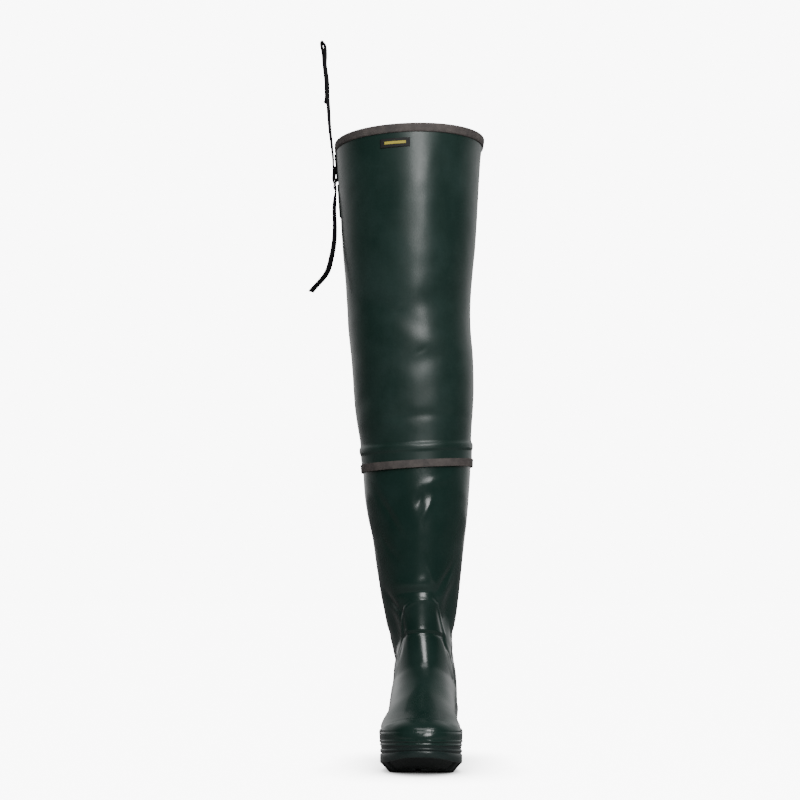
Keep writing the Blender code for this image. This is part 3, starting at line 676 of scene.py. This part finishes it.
# Outlines of the boot's overlays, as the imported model's: tops of the toe cap and the heel counter and the
# back of the vamp as (y, z) from the side, the ankle panel as (x, z) from the front
SEAM_GAP = 1.2
FAR_BELOW = -60
TOE_CAP_TOP = [
    (-60, 44),
    (-85, 47),
    (-115, 51),
    (-145, 56.5),
    (-165, 62),
    (-178, 68),
    (-186, 75),
    (-215, 110),
]
COUNTER_TOP = [(-56, 58), (-20, 60), (10, 64), (35, 71), (55, 80), (70, 88), (84, 92), (110, 92)]
VAMP_BACK = [
    (-44, 178),
    (-36, 176.5),
    (-27, 171),
    (-20, 158),
    (-13, 140),
    (-7, 122),
    (-1, 106),
    (2, 94),
    (-1, 83),
    (-12, 74),
    (-30, 68),
    (-60, 62),
]
ANKLE_OUTLINE = [
    (-30, 174),
    (-28, 206),
    (-24, 215.5),
    (-14, 224),
    (0, 228),
    (14, 227.5),
    (23, 221),
    (27, 208),
    (33, 180),
    (34, 175),
    (18, 179),
    (0, 180.5),
    (-16, 179),
]

# Lines moulded round the boot: distance above the sole's edge, height (negative for a groove) and width
EDGE_LINES = [
    (3.4, -1.1, 0.9),
    (5.8, 0.3, 1.3),
    (8.0, -0.3, 1.0),
]


def inside_by(corners, across, up):
    """How far each point lies inside a closed outline, negative outside."""
    corners = np.array(corners, float)
    nearest = np.full(across.shape, 1e9)
    inside = np.zeros(across.shape, bool)
    for (a, b), (c, d) in zip(corners, np.roll(corners, -1, axis=0)):
        long, high = c - a, d - b
        share = np.clip(((across - a) * long + (up - b) * high) / max(long**2 + high**2, 1e-9), 0, 1)
        nearest = np.minimum(nearest, np.hypot(across - a - share * long, up - b - share * high))
        if high:
            inside ^= ((b > up) != (d > up)) & (across < a + (up - b) / high * long)
    return np.where(inside, nearest, -nearest)


def under_line(top):
    """An outline that lies under a top line."""
    return [*smooth_path(top, 3.0), (top[-1][0], FAR_BELOW), (top[0][0], FAR_BELOW)]


def vamp_outline():
    """The vamp from the side: its back line, then above the toe cap's top line, and up before the ankle."""
    above_cap = [(y, z + SEAM_GAP) for y, z in TOE_CAP_TOP[1:-1]]
    return [*smooth_path(VAMP_BACK, 3.0), *above_cap, (above_cap[-1][0], VAMP_BACK[0][1])]


def boot_sections(foot_rows=120, leg_spacing=3.0):
    """Sections from the toe tip to the boot's top edge, and which of them are closed rings."""
    qs = [i / foot_rows for i in range(foot_rows - 6)]
    low = float(sole["edge"](HEEL_BACK_Y)) + GAP
    count = round((BOOT_TOP_Z - low) / leg_spacing)
    backs = [low + (BOOT_TOP_Z - low) * i / count for i in range(count + 1)]
    sections = [foot_section(q) for q in qs] + [leg_section(z) for z in backs]
    return sections, np.array([False] * len(qs) + [True] * len(backs))


def bump_line(distance, width):
    """A soft ridge along the line where the distance is 0."""
    return np.exp(-((distance / width) ** 2))


def boot_relief(points, reach):
    """How far the boot's surface stands out at each point: its overlays, ribs and creases."""
    x, y, z = points[..., 0], points[..., 1], points[..., 2]
    above_sole = z - sole["edge"](y)

    cap = inside_by(under_line(TOE_CAP_TOP), y, z)
    out = 2.0 * step(cap, 3.6) + 0.3 * bump_line(cap - 3.0, 2.0) - 0.8 * bump_line(cap + 2.4, 2.4)
    out -= 0.7 * bump_line(above_sole - 17.5, 0.8) * step(-150 - y, 12.0)
    for above, height, width in EDGE_LINES:
        out += height * bump_line(above_sole - above, width)

    counter = inside_by(under_line(COUNTER_TOP), y, z)
    out += 1.5 * step(counter, 2.0) + 0.3 * bump_line(counter - 2.4, 1.5)

    vamp = inside_by(vamp_outline(), y, z)
    out += 1.2 * step(vamp, 2.0)
    out -= 0.7 * bump_line(vamp + 2.2, 1.8) * step(z - 100, 12.0)
    ridges = bump_line(vamp - 6.0, 1.3) + 0.7 * bump_line(vamp - 10.5, 1.3)
    out += 0.5 * ridges * step(z - 94, 14.0) * step(136 - z, 14.0)

    ankle = inside_by(ANKLE_OUTLINE, x, z)
    fore = step(10 - y, 6.0)
    out += (1.9 * step(ankle, 2.2) + 0.35 * bump_line(ankle - 3.0, 2.0)) * fore

    above_ankle = step(z - 140, 30)
    out += soft_marks(MARK_COLUMNS, LEG_MARKS, reach, z) * above_ankle
    out += soft_marks(MARK_COLUMNS, SIDE_MARKS, reach, z) * step(z - 110, 20)
    return out + unevenness(points, 60.0, 1.0, 1) * step(z - 60, 40) + unevenness(points, 20.0, 0.15, 2)


def smooth_throat(points, rounds=80):
    """Evens out the surface lengthwise where the foot turns up into the leg."""
    points = points.copy()
    for _ in range(rounds):
        share = bump_line(points[..., 2] - 138, 24) * step(-22 - points[..., 1], 12.0)
        moved = (points[:-2] + points[2:]) / 2 - points[1:-1]
        points[1:-1] += 0.5 * share[1:-1, :, None] * moved
    return points


def make_boot(finish):
    """The moulded boot: one skin with all its overlays and creases in relief, thickened inward."""
    sections, joined = boot_sections()
    points, reach = skin_grid(sections, 90)
    points = smooth_throat(points)
    normals = grid_normals(points)
    # The first row lies on one upright line at the toe tip, which has no normals of its own
    normals[0] = (0, -1, 0)
    out = boot_relief(points, reach)
    out[joined, 0] = out[joined, -1] = ((out[:, 0] + out[:, -1]) / 2)[joined]
    normals[joined, 0] = normals[joined, -1] = ((normals[:, 0] + normals[:, -1]) / 2)[joined]
    boot = sheet("boot", [points + normals * out[..., None]], finish)
    thicken(boot, WALL)
    put(boot, "green_rubber", "upper", "toe_cap", "heel_counter", "vamp", "ankle_panel")


# Thigh shaft, tapes and badge

# The shaft's lap over the boot's top edge: how far the shaft's outer and inner face lie out from the skin
LAP_COLUMNS = "z out"
LAP = [
    (416.0, 1.6),
    (440.0, 1.6),
    (443.5, 2.7),
    (448.5, 2.7),
    (455.0, 0.0),
]
LAP_INSIDE = [
    (416.0, GAP),
    (448.5, GAP),
    (455.0, -THIGH_WALL),
]
LAP_START_Z, LAP_END_Z = LAP[0][0], LAP[-1][0]
SHAFT_COLUMNS, TAPE_COLUMNS = 96, 110
THIGH_MARKS = [
    (0, 560, 20, 46, 14, -1.4, 0),
    (-30, 640, -30, 50, 16, -1.5, 0),
    (62, 655, 15, 60, 18, -2.4, 0),
    (44, 590, -10, 50, 16, 1.4, 0),
    (-60, 520, 25, 45, 14, -1.2, 0),
    (20, 740, 84, 90, 26, 1.2, 0),
    (-40, 790, 70, 70, 20, -1.0, 0),
    (70, 800, 100, 70, 20, -1.0, 0),
    (16, 578, 30, 8, 2.6, -0.7, 0),
    (-16, 642, 12, 9, 2.6, 0.7, 0),
    (-14, 634, 8, 9, 2.4, -0.6, 0),
    (10, 486, 4, 70, 7, -0.8, 4),
    (-36, 474, -6, 50, 6, 0.6, 4),
]
TRIM_THICK, TRIM_HEIGHT = 1.5, 13.0
KNEE_TRIM_Z = 413.5


def thigh_relief(points, reach):
    """How far the thigh shaft stands out at each point: listed folds and gentle unevenness."""
    z = points[..., 2]
    folds = soft_marks(MARK_COLUMNS, THIGH_MARKS, reach, z)
    rough = unevenness(points, 90.0, 1.6, 3) + unevenness(points, 26.0, 0.3, 4)
    return (folds + rough) * step(z - 470, 40) * (1 - 0.75 * step(z - 870, 40))


def relieved(profile, columns):
    """Level rings for a profile, with the shaft's folds in them."""
    points, reach = level_grid(profile, columns)
    out = thigh_relief(points, reach)
    out[:, 0] = out[:, -1] = (out[:, 0] + out[:, -1]) / 2
    return points + level_normals(points) * out[..., None]


def make_thigh(finish):
    """The thin tube from the lap joint to the rim, closed into a wall at both ends."""
    top = RIM_Z - TRIM_THICK - GAP
    above_lap = LAP_END_Z + 3
    lap_outer, lap_inner = (curves(LAP_COLUMNS, rows)["out"] for rows in (LAP, LAP_INSIDE))
    heights = np.concatenate([np.arange(LAP_START_Z, above_lap, 1.6), np.linspace(above_lap, top, 160)])
    outer = [(z, float(lap_outer(z))) for z in heights]
    inner = [(z, float(lap_inner(z))) for z in heights[::2]]
    outside, inside = relieved(outer, SHAFT_COLUMNS), relieved(inner, SHAFT_COLUMNS)
    rows = list(outside) + list(inside[::-1])
    shaft = sheet("shaft", [rows + rows[:1]], finish)
    put(shaft, "green_rubber", "thigh_shaft")


def rounded_loop(low, high, inner, outer, corner, steps=4):
    """A rounded rectangle of (height, out), outside first and upward."""
    loop = []
    for z, out, start in ((high, outer, 0), (high, inner, 90), (low, inner, 180), (low, outer, 270)):
        centre_z = z - corner if z == high else z + corner
        centre_out = out - corner if out == outer else out + corner
        for i in range(steps + 1):
            angle = math.radians(start + 90 * i / steps)
            loop.append((centre_z + corner * math.sin(angle), centre_out + corner * math.cos(angle)))
    return loop


def make_tapes(finish):
    """The flat tape over the knee's joint, and the one folded over the rim."""
    near = LAP[0][1] + GAP
    knee = rounded_loop(KNEE_TRIM_Z, KNEE_TRIM_Z + TRIM_HEIGHT, near, near + TRIM_THICK, 0.6)
    rows = list(relieved(knee, TAPE_COLUMNS))
    put(sheet("knee_tape", [rows + rows[:1]], finish), "taupe_tape", "knee_trim")

    inside = -THIGH_WALL - GAP
    low, wide = RIM_Z - TRIM_HEIGHT, TRIM_THICK
    outer_side = [(low + 0.4, GAP + wide - 0.5), (low + 1.2, GAP + wide)]
    outer_side += [(z, GAP + wide + 0.25) for z in np.linspace(low + 3, RIM_Z - 3, 5)]
    over = [(RIM_Z - 1.2, GAP + wide), (RIM_Z - 0.3, GAP + wide - 0.7), (RIM_Z, GAP), (RIM_Z, inside)]
    over += [(RIM_Z - 0.3, inside - wide + 0.7), (RIM_Z - 1.2, inside - wide), (low, inside - wide)]
    under = [(low, inside), (RIM_Z - wide, inside), (RIM_Z - wide, GAP), (low, GAP)]
    rows = list(relieved(outer_side + over + under, TAPE_COLUMNS))
    put(sheet("rim_tape", [rows + rows[:1]], finish), "taupe_tape", "rim_trim")


BADGE_X, BADGE_Z, BADGE_THICK = (-57.0, -14.0), (869.5, 882.0), 0.9
STRIPE_Z, STRIPE_INSET = (874.0, 877.8), 6.0


def front_patch(xs, zs, out):
    """Points on the shaft's front, moved out, at each x and z."""
    grid = relieved([(z, out) for z in (zs[0] - 2, *zs, zs[-1] + 2)], SHAFT_COLUMNS)[1:-1]
    quarter = SHAFT_COLUMNS // 4
    rows = []
    for ring in grid:
        along, back, up = ring[quarter:-quarter].T
        rows.append([(x, np.interp(x, along, back), np.interp(x, along, up)) for x in xs])
    return np.array(rows)


def patch_between(name, near, far, finish):
    """A closed plate between two patches of points, the nearer one towards the leg."""
    rows = []
    for inside, outside in zip(near, far):
        rows.append(np.vstack([outside[::-1], inside]))
    return sheet(name, [np.array(rows)[::-1]], finish, closed=True, capped=True)


def make_badge(cloth, thread):
    """A dark label with one plain yellow stripe woven into it."""
    xs = np.linspace(*BADGE_X, 40)
    zs = np.linspace(*BADGE_Z, 14)
    near, far = front_patch(xs, zs, GAP), front_patch(xs, zs, GAP + BADGE_THICK)
    put(patch_between("woven_badge", near, far, cloth), "badge_weave", "badge")
    xs = np.linspace(BADGE_X[1] - STRIPE_INSET, BADGE_X[0] + STRIPE_INSET, 20)
    stripe = front_patch(xs, np.linspace(*STRIPE_Z, 6), GAP + BADGE_THICK + 0.2)
    put(sheet("badge_stripe", [list(stripe)], thread), "badge_weave")


# Straps and buckle

STRAP_Y, STRAP_WIDTH, STRAP_THICK = 28.0, 12.0, 1.2
# How much fuller the webbing's nap makes the straps, all round
STRAP_NAP = 0.35

# The straps' paths as (x, z) in the plane y = STRAP_Y: the side strap from the end that is folded back, up
# and over the belt loop, down through the buckle and out along the loose tail
SIDE_STRAP = [
    (-145.9, 965.6),
    (-144.2, 969.5),
    (-143.6, 975.0),
    (-143.9, 985.0),
    (-144.2, 997.0),
    (-146.1, 1013.0),
    (-147.9, 1028.0),
    (-149.0, 1040.0),
    (-151.4, 1053.0),
    (-151.8, 1058.5),
    (-149.6, 1061.2),
    (-147.0, 1057.5),
    (-145.9, 1049.0),
    (-145.8, 1040.0),
    (-146.3, 1028.0),
    (-144.5, 1013.0),
    (-142.6, 997.0),
    (-142.3, 985.0),
    (-142.0, 975.0),
    (-141.4, 966.0),
    (-140.9, 960.0),
    (-139.6, 937.6),
    (-137.9, 919.2),
    (-136.3, 906.9),
    (-134.6, 891.5),
    (-133.2, 876.0),
    (-132.9, 860.0),
    (-133.3, 847.0),
    (-131.8, 842.2),
    (-129.6, 839.4),
    (-129.0, 835.0),
    (-129.4, 829.0),
    (-131.2, 803.0),
    (-130.3, 778.7),
    (-131.0, 754.5),
    (-135.1, 730.3),
    (-142.3, 706.2),
    (-162.7, 682.2),
    (-165.4, 677.7),
]
ANCHOR_STRAP = [
    (-129.9, 885.0),
    (-129.3, 875.0),
    (-128.2, 864.0),
    (-127.3, 854.0),
    (-127.2, 848.5),
    (-127.8, 846.6),
    (-129.2, 846.0),
    (-130.6, 846.6),
    (-131.2, 848.5),
    (-130.9, 854.0),
    (-130.0, 860.0),
    (-130.3, 867.0),
]

# Turn of the side strap about an upright line that follows it
STRAP_TURN_COLUMNS = "z x degrees"
STRAP_TURN = [
    (677, -165, 28),
    (706, -142, 27),
    (740, -133, 24),
    (780, -131, 19),
    (812, -131, 14),
    (830, -131, 0),
    (870, -133, 0),
    (885, -133, 4),
    (910, -137, 9),
    (945, -140, 13),
    (975, -143, 16),
    (1005, -144, 17),
    (1032, -147, 13),
    (1062, -149, 10),
]
BUCKLE_HEAD, BUCKLE_FOOT = (-129.2, 848.2), (-131.6, 834.5)
BUCKLE_WIRE, BUCKLE_WIDTH, BUCKLE_CORNER = 1.0, 16.0, 2.5
PATCH_Z, PATCH_WIDTH, PATCH_THICK, PATCH_CORNER = (794.0, 843.0), 24.0, 1.4, 6.0


strap_turn = curves(STRAP_TURN_COLUMNS, STRAP_TURN)


def turned(point):
    """A point of a strap, turned about the upright line that follows it."""
    x, y, z = point
    angle = math.radians(float(strap_turn["degrees"](z)))
    middle = float(strap_turn["x"](z))
    a, b = x - middle, y - STRAP_Y
    across = middle + a * math.cos(angle) + b * math.sin(angle)
    return (across, STRAP_Y - a * math.sin(angle) + b * math.cos(angle), z)


def ribbon(name, points, finish, spacing=0.8):
    """A strap with rounded edges along a path in the plane y = STRAP_Y, then turned."""
    path = smooth_path(points, spacing)
    half, thick = STRAP_WIDTH / 2 + STRAP_NAP, STRAP_THICK / 2 + STRAP_NAP
    edge = [(a, b) for a, b in ((1, -0.45), (1, 0.45), (0.94, 1), (0.4, 1), (0, 1), (-0.4, 1), (-0.94, 1))]
    outline_points = edge + [(-a, -b) for a, b in edge]
    rows = []
    for i, (x, z) in enumerate(path):
        near, far = path[max(0, i - 1)], path[min(len(path) - 1, i + 1)]
        dx, dz = (far - near) / np.hypot(*(far - near))
        middle = np.array([x, STRAP_Y, z])
        across, through = np.array([0, half, 0]), np.array([-dz, 0, dx]) * thick
        rows.append([turned(middle + a * across + b * through) for a, b in outline_points])
    return sheet(name, [rows], finish, closed=True, capped=True)


def make_straps(webbing):
    """The side strap, and the short strap that holds the buckle."""
    put(ribbon("belt_strap", SIDE_STRAP, webbing), "black_webbing", "side_strap")
    put(ribbon("sewn_strap", ANCHOR_STRAP, webbing), "black_webbing", "anchor_strap")


def make_buckle(metal):
    """A wire loop, wider than the strap, from its head bar to its foot bar."""
    head, end = np.array(BUCKLE_HEAD), np.array(BUCKLE_FOOT)
    length = float(np.hypot(*(end - head)))
    down = (end - head) / length
    curve = bpy.data.curves.new("buckle_wire", "CURVE")
    curve.dimensions = "3D"
    curve.bevel_depth = BUCKLE_WIRE * MM
    curve.bevel_resolution = 6
    places = []
    for across, along, start in ((1, 1, 90), (1, 0, 0), (-1, 0, -90), (-1, 1, -180)):
        u = across * (BUCKLE_WIDTH / 2 - BUCKLE_CORNER)
        v = length * along - (2 * along - 1) * BUCKLE_CORNER
        for i in range(7):
            angle = math.radians(start - i * 15)
            places.append((u + BUCKLE_CORNER * math.cos(angle), v + BUCKLE_CORNER * math.sin(angle)))
    spline = curve.splines.new("POLY")
    spline.points.add(len(places) - 1)
    for target, (u, v) in zip(spline.points, places):
        target.co = (*placed((head[0] + down[0] * v, STRAP_Y + u, head[1] + down[1] * v)), 1.0)
    spline.use_cyclic_u = True
    spline.use_smooth = True
    curve.materials.append(metal)
    loop = bpy.data.objects.new("buckle_wire", curve)
    bpy.context.scene.collection.objects.link(loop)
    put(loop, "black_metal", "buckle")


def outer_side_points(z, out, ys):
    """Points at each y on the outer side of the shaft at a height, moved out."""
    ring = relieved([(z - 1, out), (z, out), (z + 1, out)], SHAFT_COLUMNS)[1]
    across, along, up = ring[:SHAFT_COLUMNS][::-1].T
    return np.array([(np.interp(y, along, across), y, np.interp(y, along, up)) for y in ys])


def make_patch(finish):
    """The rubber patch on the outer side, with rounded corners and a thin edge."""
    low, high = PATCH_Z
    rows = []
    for part in np.linspace(0, 1, 34):
        z = low + (high - low) * part
        from_end = min(z - low, high - z)
        half = PATCH_WIDTH / 2
        if from_end < PATCH_CORNER:
            half -= PATCH_CORNER - math.sqrt(PATCH_CORNER**2 - (PATCH_CORNER - from_end) ** 2)
        rise = 0.35 + 0.65 * float(step(from_end - 1.0, 2.0))
        ys = STRAP_Y + np.linspace(1, -1, 15) * half
        edge = np.clip((half - np.abs(ys - STRAP_Y)) / 1.5, 0.0, 1.0)
        share = (rise * (0.35 + 0.65 * edge * (2 - edge)))[:, None]
        inside, outside = (outer_side_points(z, out, ys) for out in (GAP, GAP + PATCH_THICK))
        rows.append(np.vstack([inside * (1 - share) + outside * share, inside[::-1]]))
    put(sheet("strap_patch", [rows], finish, closed=True, capped=True), "green_rubber", "anchor_patch")


# Sole

# The sole's side wall from its foot up: share of the wall's height, and distance out from the outline
SIDE_WALL = [
    (0.00, -1.6),
    (0.02, -0.7),
    (0.05, -0.2),
    (0.08, 0.0),
    (0.30, 0.0),
    (0.50, 0.0),
    (0.53, -0.3),
    (0.55, -1.2),
    (0.60, -1.2),
    (0.62, -0.3),
    (0.65, 0.0),
    (0.76, 0.0),
    (0.78, -0.3),
    (0.80, -1.2),
    (0.85, -1.2),
    (0.88, -0.9),
    (1.00, -0.9),
]
LEDGE = 5.6
RECESS_DEPTH = 10.0
GROOVE_WIDTH = 6.5
FORE_GROOVES = [-178.0 + 17.0 * i for i in range(7)]
HEEL_GROOVES = [37.0 + 16.0 * i for i in range(3)]
MIDDLE_GROOVE = 7.0
TREAD_TOE_Y, TREAD_BALL_Y = -206.0, -58.0
TREAD_BREAST_Y, TREAD_HEEL_Y = 22.0, 90.5
TREAD_INSET = 0.9
FORE_CHAMFER, HEEL_CHAMFER = 11.0, 3.0
MIDDLE_GROOVE_ENDS = 13.0


def station_y(q):
    return HEEL_BACK_Y - SOLE_LENGTH * (1 + math.cos(math.pi * q)) / 2


def tread_bottom(y):
    """Height of the lugs' faces: flat at ball and heel, rising at the toe."""
    part = max(0.0, (TREAD_SPRING_START_Y - y) / (TREAD_SPRING_START_Y - HEEL_BACK_Y + SOLE_LENGTH))
    return TREAD_SPRING * part**1.8


def sole_ring(q):
    """The sole body's section: up the outer wall, over the ledge into the recess, and down the inner wall."""
    under, edge = float(sole["under"](station_y(q))), float(sole["edge"](station_y(q)))
    sides = []
    for side in (-1, 1):
        column = [(*edge_point(q, side, -out), under + share * (edge - under)) for share, out in SIDE_WALL]
        column.append((*edge_point(q, side, LEDGE), edge))
        column.append((*edge_point(q, side, LEDGE + 0.5), edge - RECESS_DEPTH))
        sides.append(column)
    return np.array(sides[0] + sides[1][::-1])


def lug_stations(first, last, grooves):
    """The stretches of tread between the grooves."""
    edges = [first]
    for groove in grooves:
        edges += [groove - GROOVE_WIDTH / 2, groove + GROOVE_WIDTH / 2]
    edges.append(last)
    return list(zip(edges[::2], edges[1::2]))


def lug_rows(ys, side, chamfer):
    """A lug between the sole's edges, or on one side of the middle groove, narrower at the ground."""
    rows = []
    for y in ys:
        q = station_q(y)
        low, high = tread_bottom(y), float(sole["under"](y)) + 0.6
        corners = {}
        for edge_side in (-1, 1):
            if edge_side == -side:
                groove_x = side * MIDDLE_GROOVE / 2
                corners[edge_side] = [(groove_x, y, low), (groove_x, y, high)]
            else:
                ground = edge_point(q, edge_side, TREAD_INSET + chamfer)
                top = edge_point(q, edge_side, TREAD_INSET)
                corners[edge_side] = [(*ground, low), (*top, high)]
        rows.append([corners[-1][0], corners[-1][1], corners[1][1], corners[1][0]])
    return rows


def make_sole(rubber, tread_rubber_painted_shade):
    """The sole's wall with its recess, and the lugs of the forefoot and the heel under it."""
    body = sheet("sole_wall", [[sole_ring(i / 140) for i in range(141)]], rubber, closed=True)
    edge_angle = body.modifiers.new("sharp", "EDGE_SPLIT")
    edge_angle.split_angle = math.radians(50)
    put(body, "sole_rubber", "outsole")

    strips = []
    for first, last, grooves, chamfer, split in (
        (TREAD_TOE_Y, TREAD_BALL_Y, FORE_GROOVES, FORE_CHAMFER, True),
        (TREAD_BREAST_Y, TREAD_HEEL_Y, HEEL_GROOVES, HEEL_CHAMFER, False),
    ):
        for start, end in lug_stations(first, last, grooves):
            ys = np.linspace(start, end, 7)
            cut = split and first + MIDDLE_GROOVE_ENDS < start and end < last - MIDDLE_GROOVE_ENDS
            for side in (-1, 1) if cut else (0,):
                strips.append(lug_rows(ys, side, chamfer))
    # The lugs' near-black rubber is partly painted shade under the sole
    lugs = sheet("lugs", strips, tread_rubber_painted_shade, closed=True, capped=True, smooth_faces=False)
    bevel = lugs.modifiers.new("worn", "BEVEL")
    bevel.width = 0.6 * MM
    bevel.segments = 2
    bevel.angle_limit = math.radians(50)
    put(lugs, "sole_rubber")


def make_insole(felt):
    """The flat footbed in the sole's recess, its upper edge a little worn round."""
    inset = LEDGE + 1.2
    rows = []
    for i in range(91):
        q = i / 90
        floor = float(sole["edge"](station_y(q))) - RECESS_DEPTH + GAP
        outer, inner = edge_point(q, -1, inset), edge_point(q, 1, inset)
        soft_in = [edge_point(q, -1, inset + 0.8), edge_point(q, 1, inset + 0.8)]
        rows.append(
            [
                (*outer, floor),
                (*outer, floor + 3.2),
                (*soft_in[0], floor + 4.0),
                (*soft_in[1], floor + 4.0),
                (*inner, floor + 3.2),
                (*inner, floor),
            ]
        )
    put(sheet("footbed", [rows], felt, closed=True), "insole_felt", "insole")


# Floor, light and camera

# The camera's place in the shape tables' millimetres, and its picture in pixels: the focal length, how far
# the horizon lies below the middle, and how far the boot stands beside it in the photo
CAMERA_X, CAMERA_Y, CAMERA_HEIGHT = 76.0, -2308.0, 236.0
FOCAL_PIXELS = 1605.0
HORIZON_BELOW_MIDDLE = 192.0
IMAGE_SIZE = 800.0
SENSOR = 36.0
AIM_PIXELS = 75.0
BACKDROP = 9.0
FLOOR_REACH = 30.0
# Reach of the floor's painted contact shadow, in metres
CONTACT_SHADE_REACH = 0.10


def make_floor():
    """A pale floor as white as the backdrop, with a painted contact shadow: its glow darkens only where the
    boot stands on it.
    """
    pale = new_material("floor_white", (0.35, 0.35, 0.35), 0.9)
    tree = pale.node_tree
    shader = tree.nodes["Principled BSDF"]
    # Painted shadow: to the camera, the floor's glow is dimmed by ambient occlusion near the boot
    occlusion = node(tree, "ShaderNodeAmbientOcclusion", samples=16, Distance=CONTACT_SHADE_REACH)
    shade = node(tree, "ShaderNodeMath", operation="POWER")
    tree.links.new(occlusion.outputs["AO"], shade.inputs[0])
    shade.inputs[1].default_value = 1.6
    seen = node(tree, "ShaderNodeMath", operation="MULTIPLY")
    tree.links.new(shade.outputs[0], seen.inputs[0])
    tree.links.new(node(tree, "ShaderNodeLightPath").outputs["Is Camera Ray"], seen.inputs[1])
    tree.links.new(ramp(tree, seen.outputs[0], 0.0, 1.0, 0.0, BACKDROP), shader.inputs["Emission Strength"])
    shader.inputs["Emission Color"].default_value = (1, 1, 1, 1)
    mesh = bpy.data.meshes.new("floor")
    corners = [(FLOOR_REACH * a, FLOOR_REACH * b, 0) for a, b in ((-1, -1), (1, -1), (1, 1), (-1, 1))]
    mesh.from_pydata(corners, [], [(0, 1, 2, 3)])
    mesh.materials.append(pale)
    floor = bpy.data.objects.new("floor", mesh)
    bpy.context.scene.collection.objects.link(floor)


def area_light(name, place, aim, size, power):
    data = bpy.data.lights.new(name, "AREA")
    data.shape = "RECTANGLE"
    data.size, data.size_y = size
    data.energy = power
    light = bpy.data.objects.new(name, data)
    light.location = place
    light.rotation_euler = (Vector(aim) - Vector(place)).to_track_quat("-Z", "Y").to_euler()
    bpy.context.scene.collection.objects.link(light)


def make_light():
    """A white studio: bright walls to both sides and behind, dim before the boot and overhead."""
    world = bpy.data.worlds.new("studio")
    world.use_nodes = True
    tree = world.node_tree
    coordinates = node(tree, "ShaderNodeTexCoord")
    split = node(tree, "ShaderNodeSeparateXYZ")
    tree.links.new(coordinates.outputs["Generated"], split.inputs["Vector"])
    sideways = node(tree, "ShaderNodeMath", operation="ABSOLUTE")
    tree.links.new(split.outputs["X"], sideways.inputs[0])
    wall = node(tree, "ShaderNodeMath", operation="MULTIPLY")
    tree.links.new(ramp(tree, split.outputs["Y"], -0.1, 0.8, 0.0, 1.0), wall.inputs[0])
    tree.links.new(ramp(tree, sideways.outputs[0], 0.05, 0.45, 0.1, 1.0), wall.inputs[1])
    reflected = ramp(tree, wall.outputs[0], 0.0, 1.0, 0.04, 1.1)
    seen = node(tree, "ShaderNodeLightPath").outputs["Is Camera Ray"]
    strength = node(tree, "ShaderNodeMix", data_type="FLOAT")
    tree.links.new(seen, strength.inputs[0])
    tree.links.new(reflected, strength.inputs[2])
    strength.inputs[3].default_value = BACKDROP
    tree.links.new(strength.outputs[0], tree.nodes["Background"].inputs["Strength"])
    tree.nodes["Background"].inputs["Color"].default_value = (1, 1, 1, 1)
    bpy.context.scene.world = world
    area_light("tall_soft_box", (0.6, -2.4, 1.5), (0, 0, 0.6), (0.8, 1.2), 46)
    area_light("overhead", (0.3, -1.6, 2.4), (0, -0.1, 0.1), (1.6, 0.8), 16)


def make_camera():
    data = bpy.data.cameras.new("camera")
    data.sensor_width = SENSOR
    data.lens = SENSOR * FOCAL_PIXELS / IMAGE_SIZE
    camera = bpy.data.objects.new("camera", data)
    camera.location = placed((CAMERA_X, CAMERA_Y, CAMERA_HEIGHT))
    tilt = math.atan(HORIZON_BELOW_MIDDLE / FOCAL_PIXELS)
    turn = math.atan(AIM_PIXELS / FOCAL_PIXELS)
    camera.rotation_euler = (math.radians(90) + tilt, 0, turn)
    bpy.context.scene.collection.objects.link(camera)
    bpy.context.scene.camera = camera


def main():
    """The studio first, then the finishes, then the boot's pieces."""
    make_camera()
    make_light()
    make_floor()
    rubber = {row[0]: rubber_material(*row) for row in RUBBERS}
    tape = tape_material()
    webbing = webbing_material()
    metal = new_material("black_metal", (0.03, 0.03, 0.032), 0.35, Metallic=0.9)
    cloth = new_material("badge_weave", (0.008, 0.008, 0.009), 0.7)
    thread = new_material("badge_thread", (0.5, 0.42, 0.06), 0.7)
    make_boot(rubber["green_rubber"])
    make_thigh(rubber["shaft_rubber"])
    make_tapes(tape)
    make_badge(cloth, thread)
    make_patch(rubber["shaft_rubber"])
    make_straps(webbing)
    make_buckle(metal)
    make_sole(rubber["sole_rubber"], rubber["tread_rubber_painted_shade"])
    make_insole(felt_material())


main()
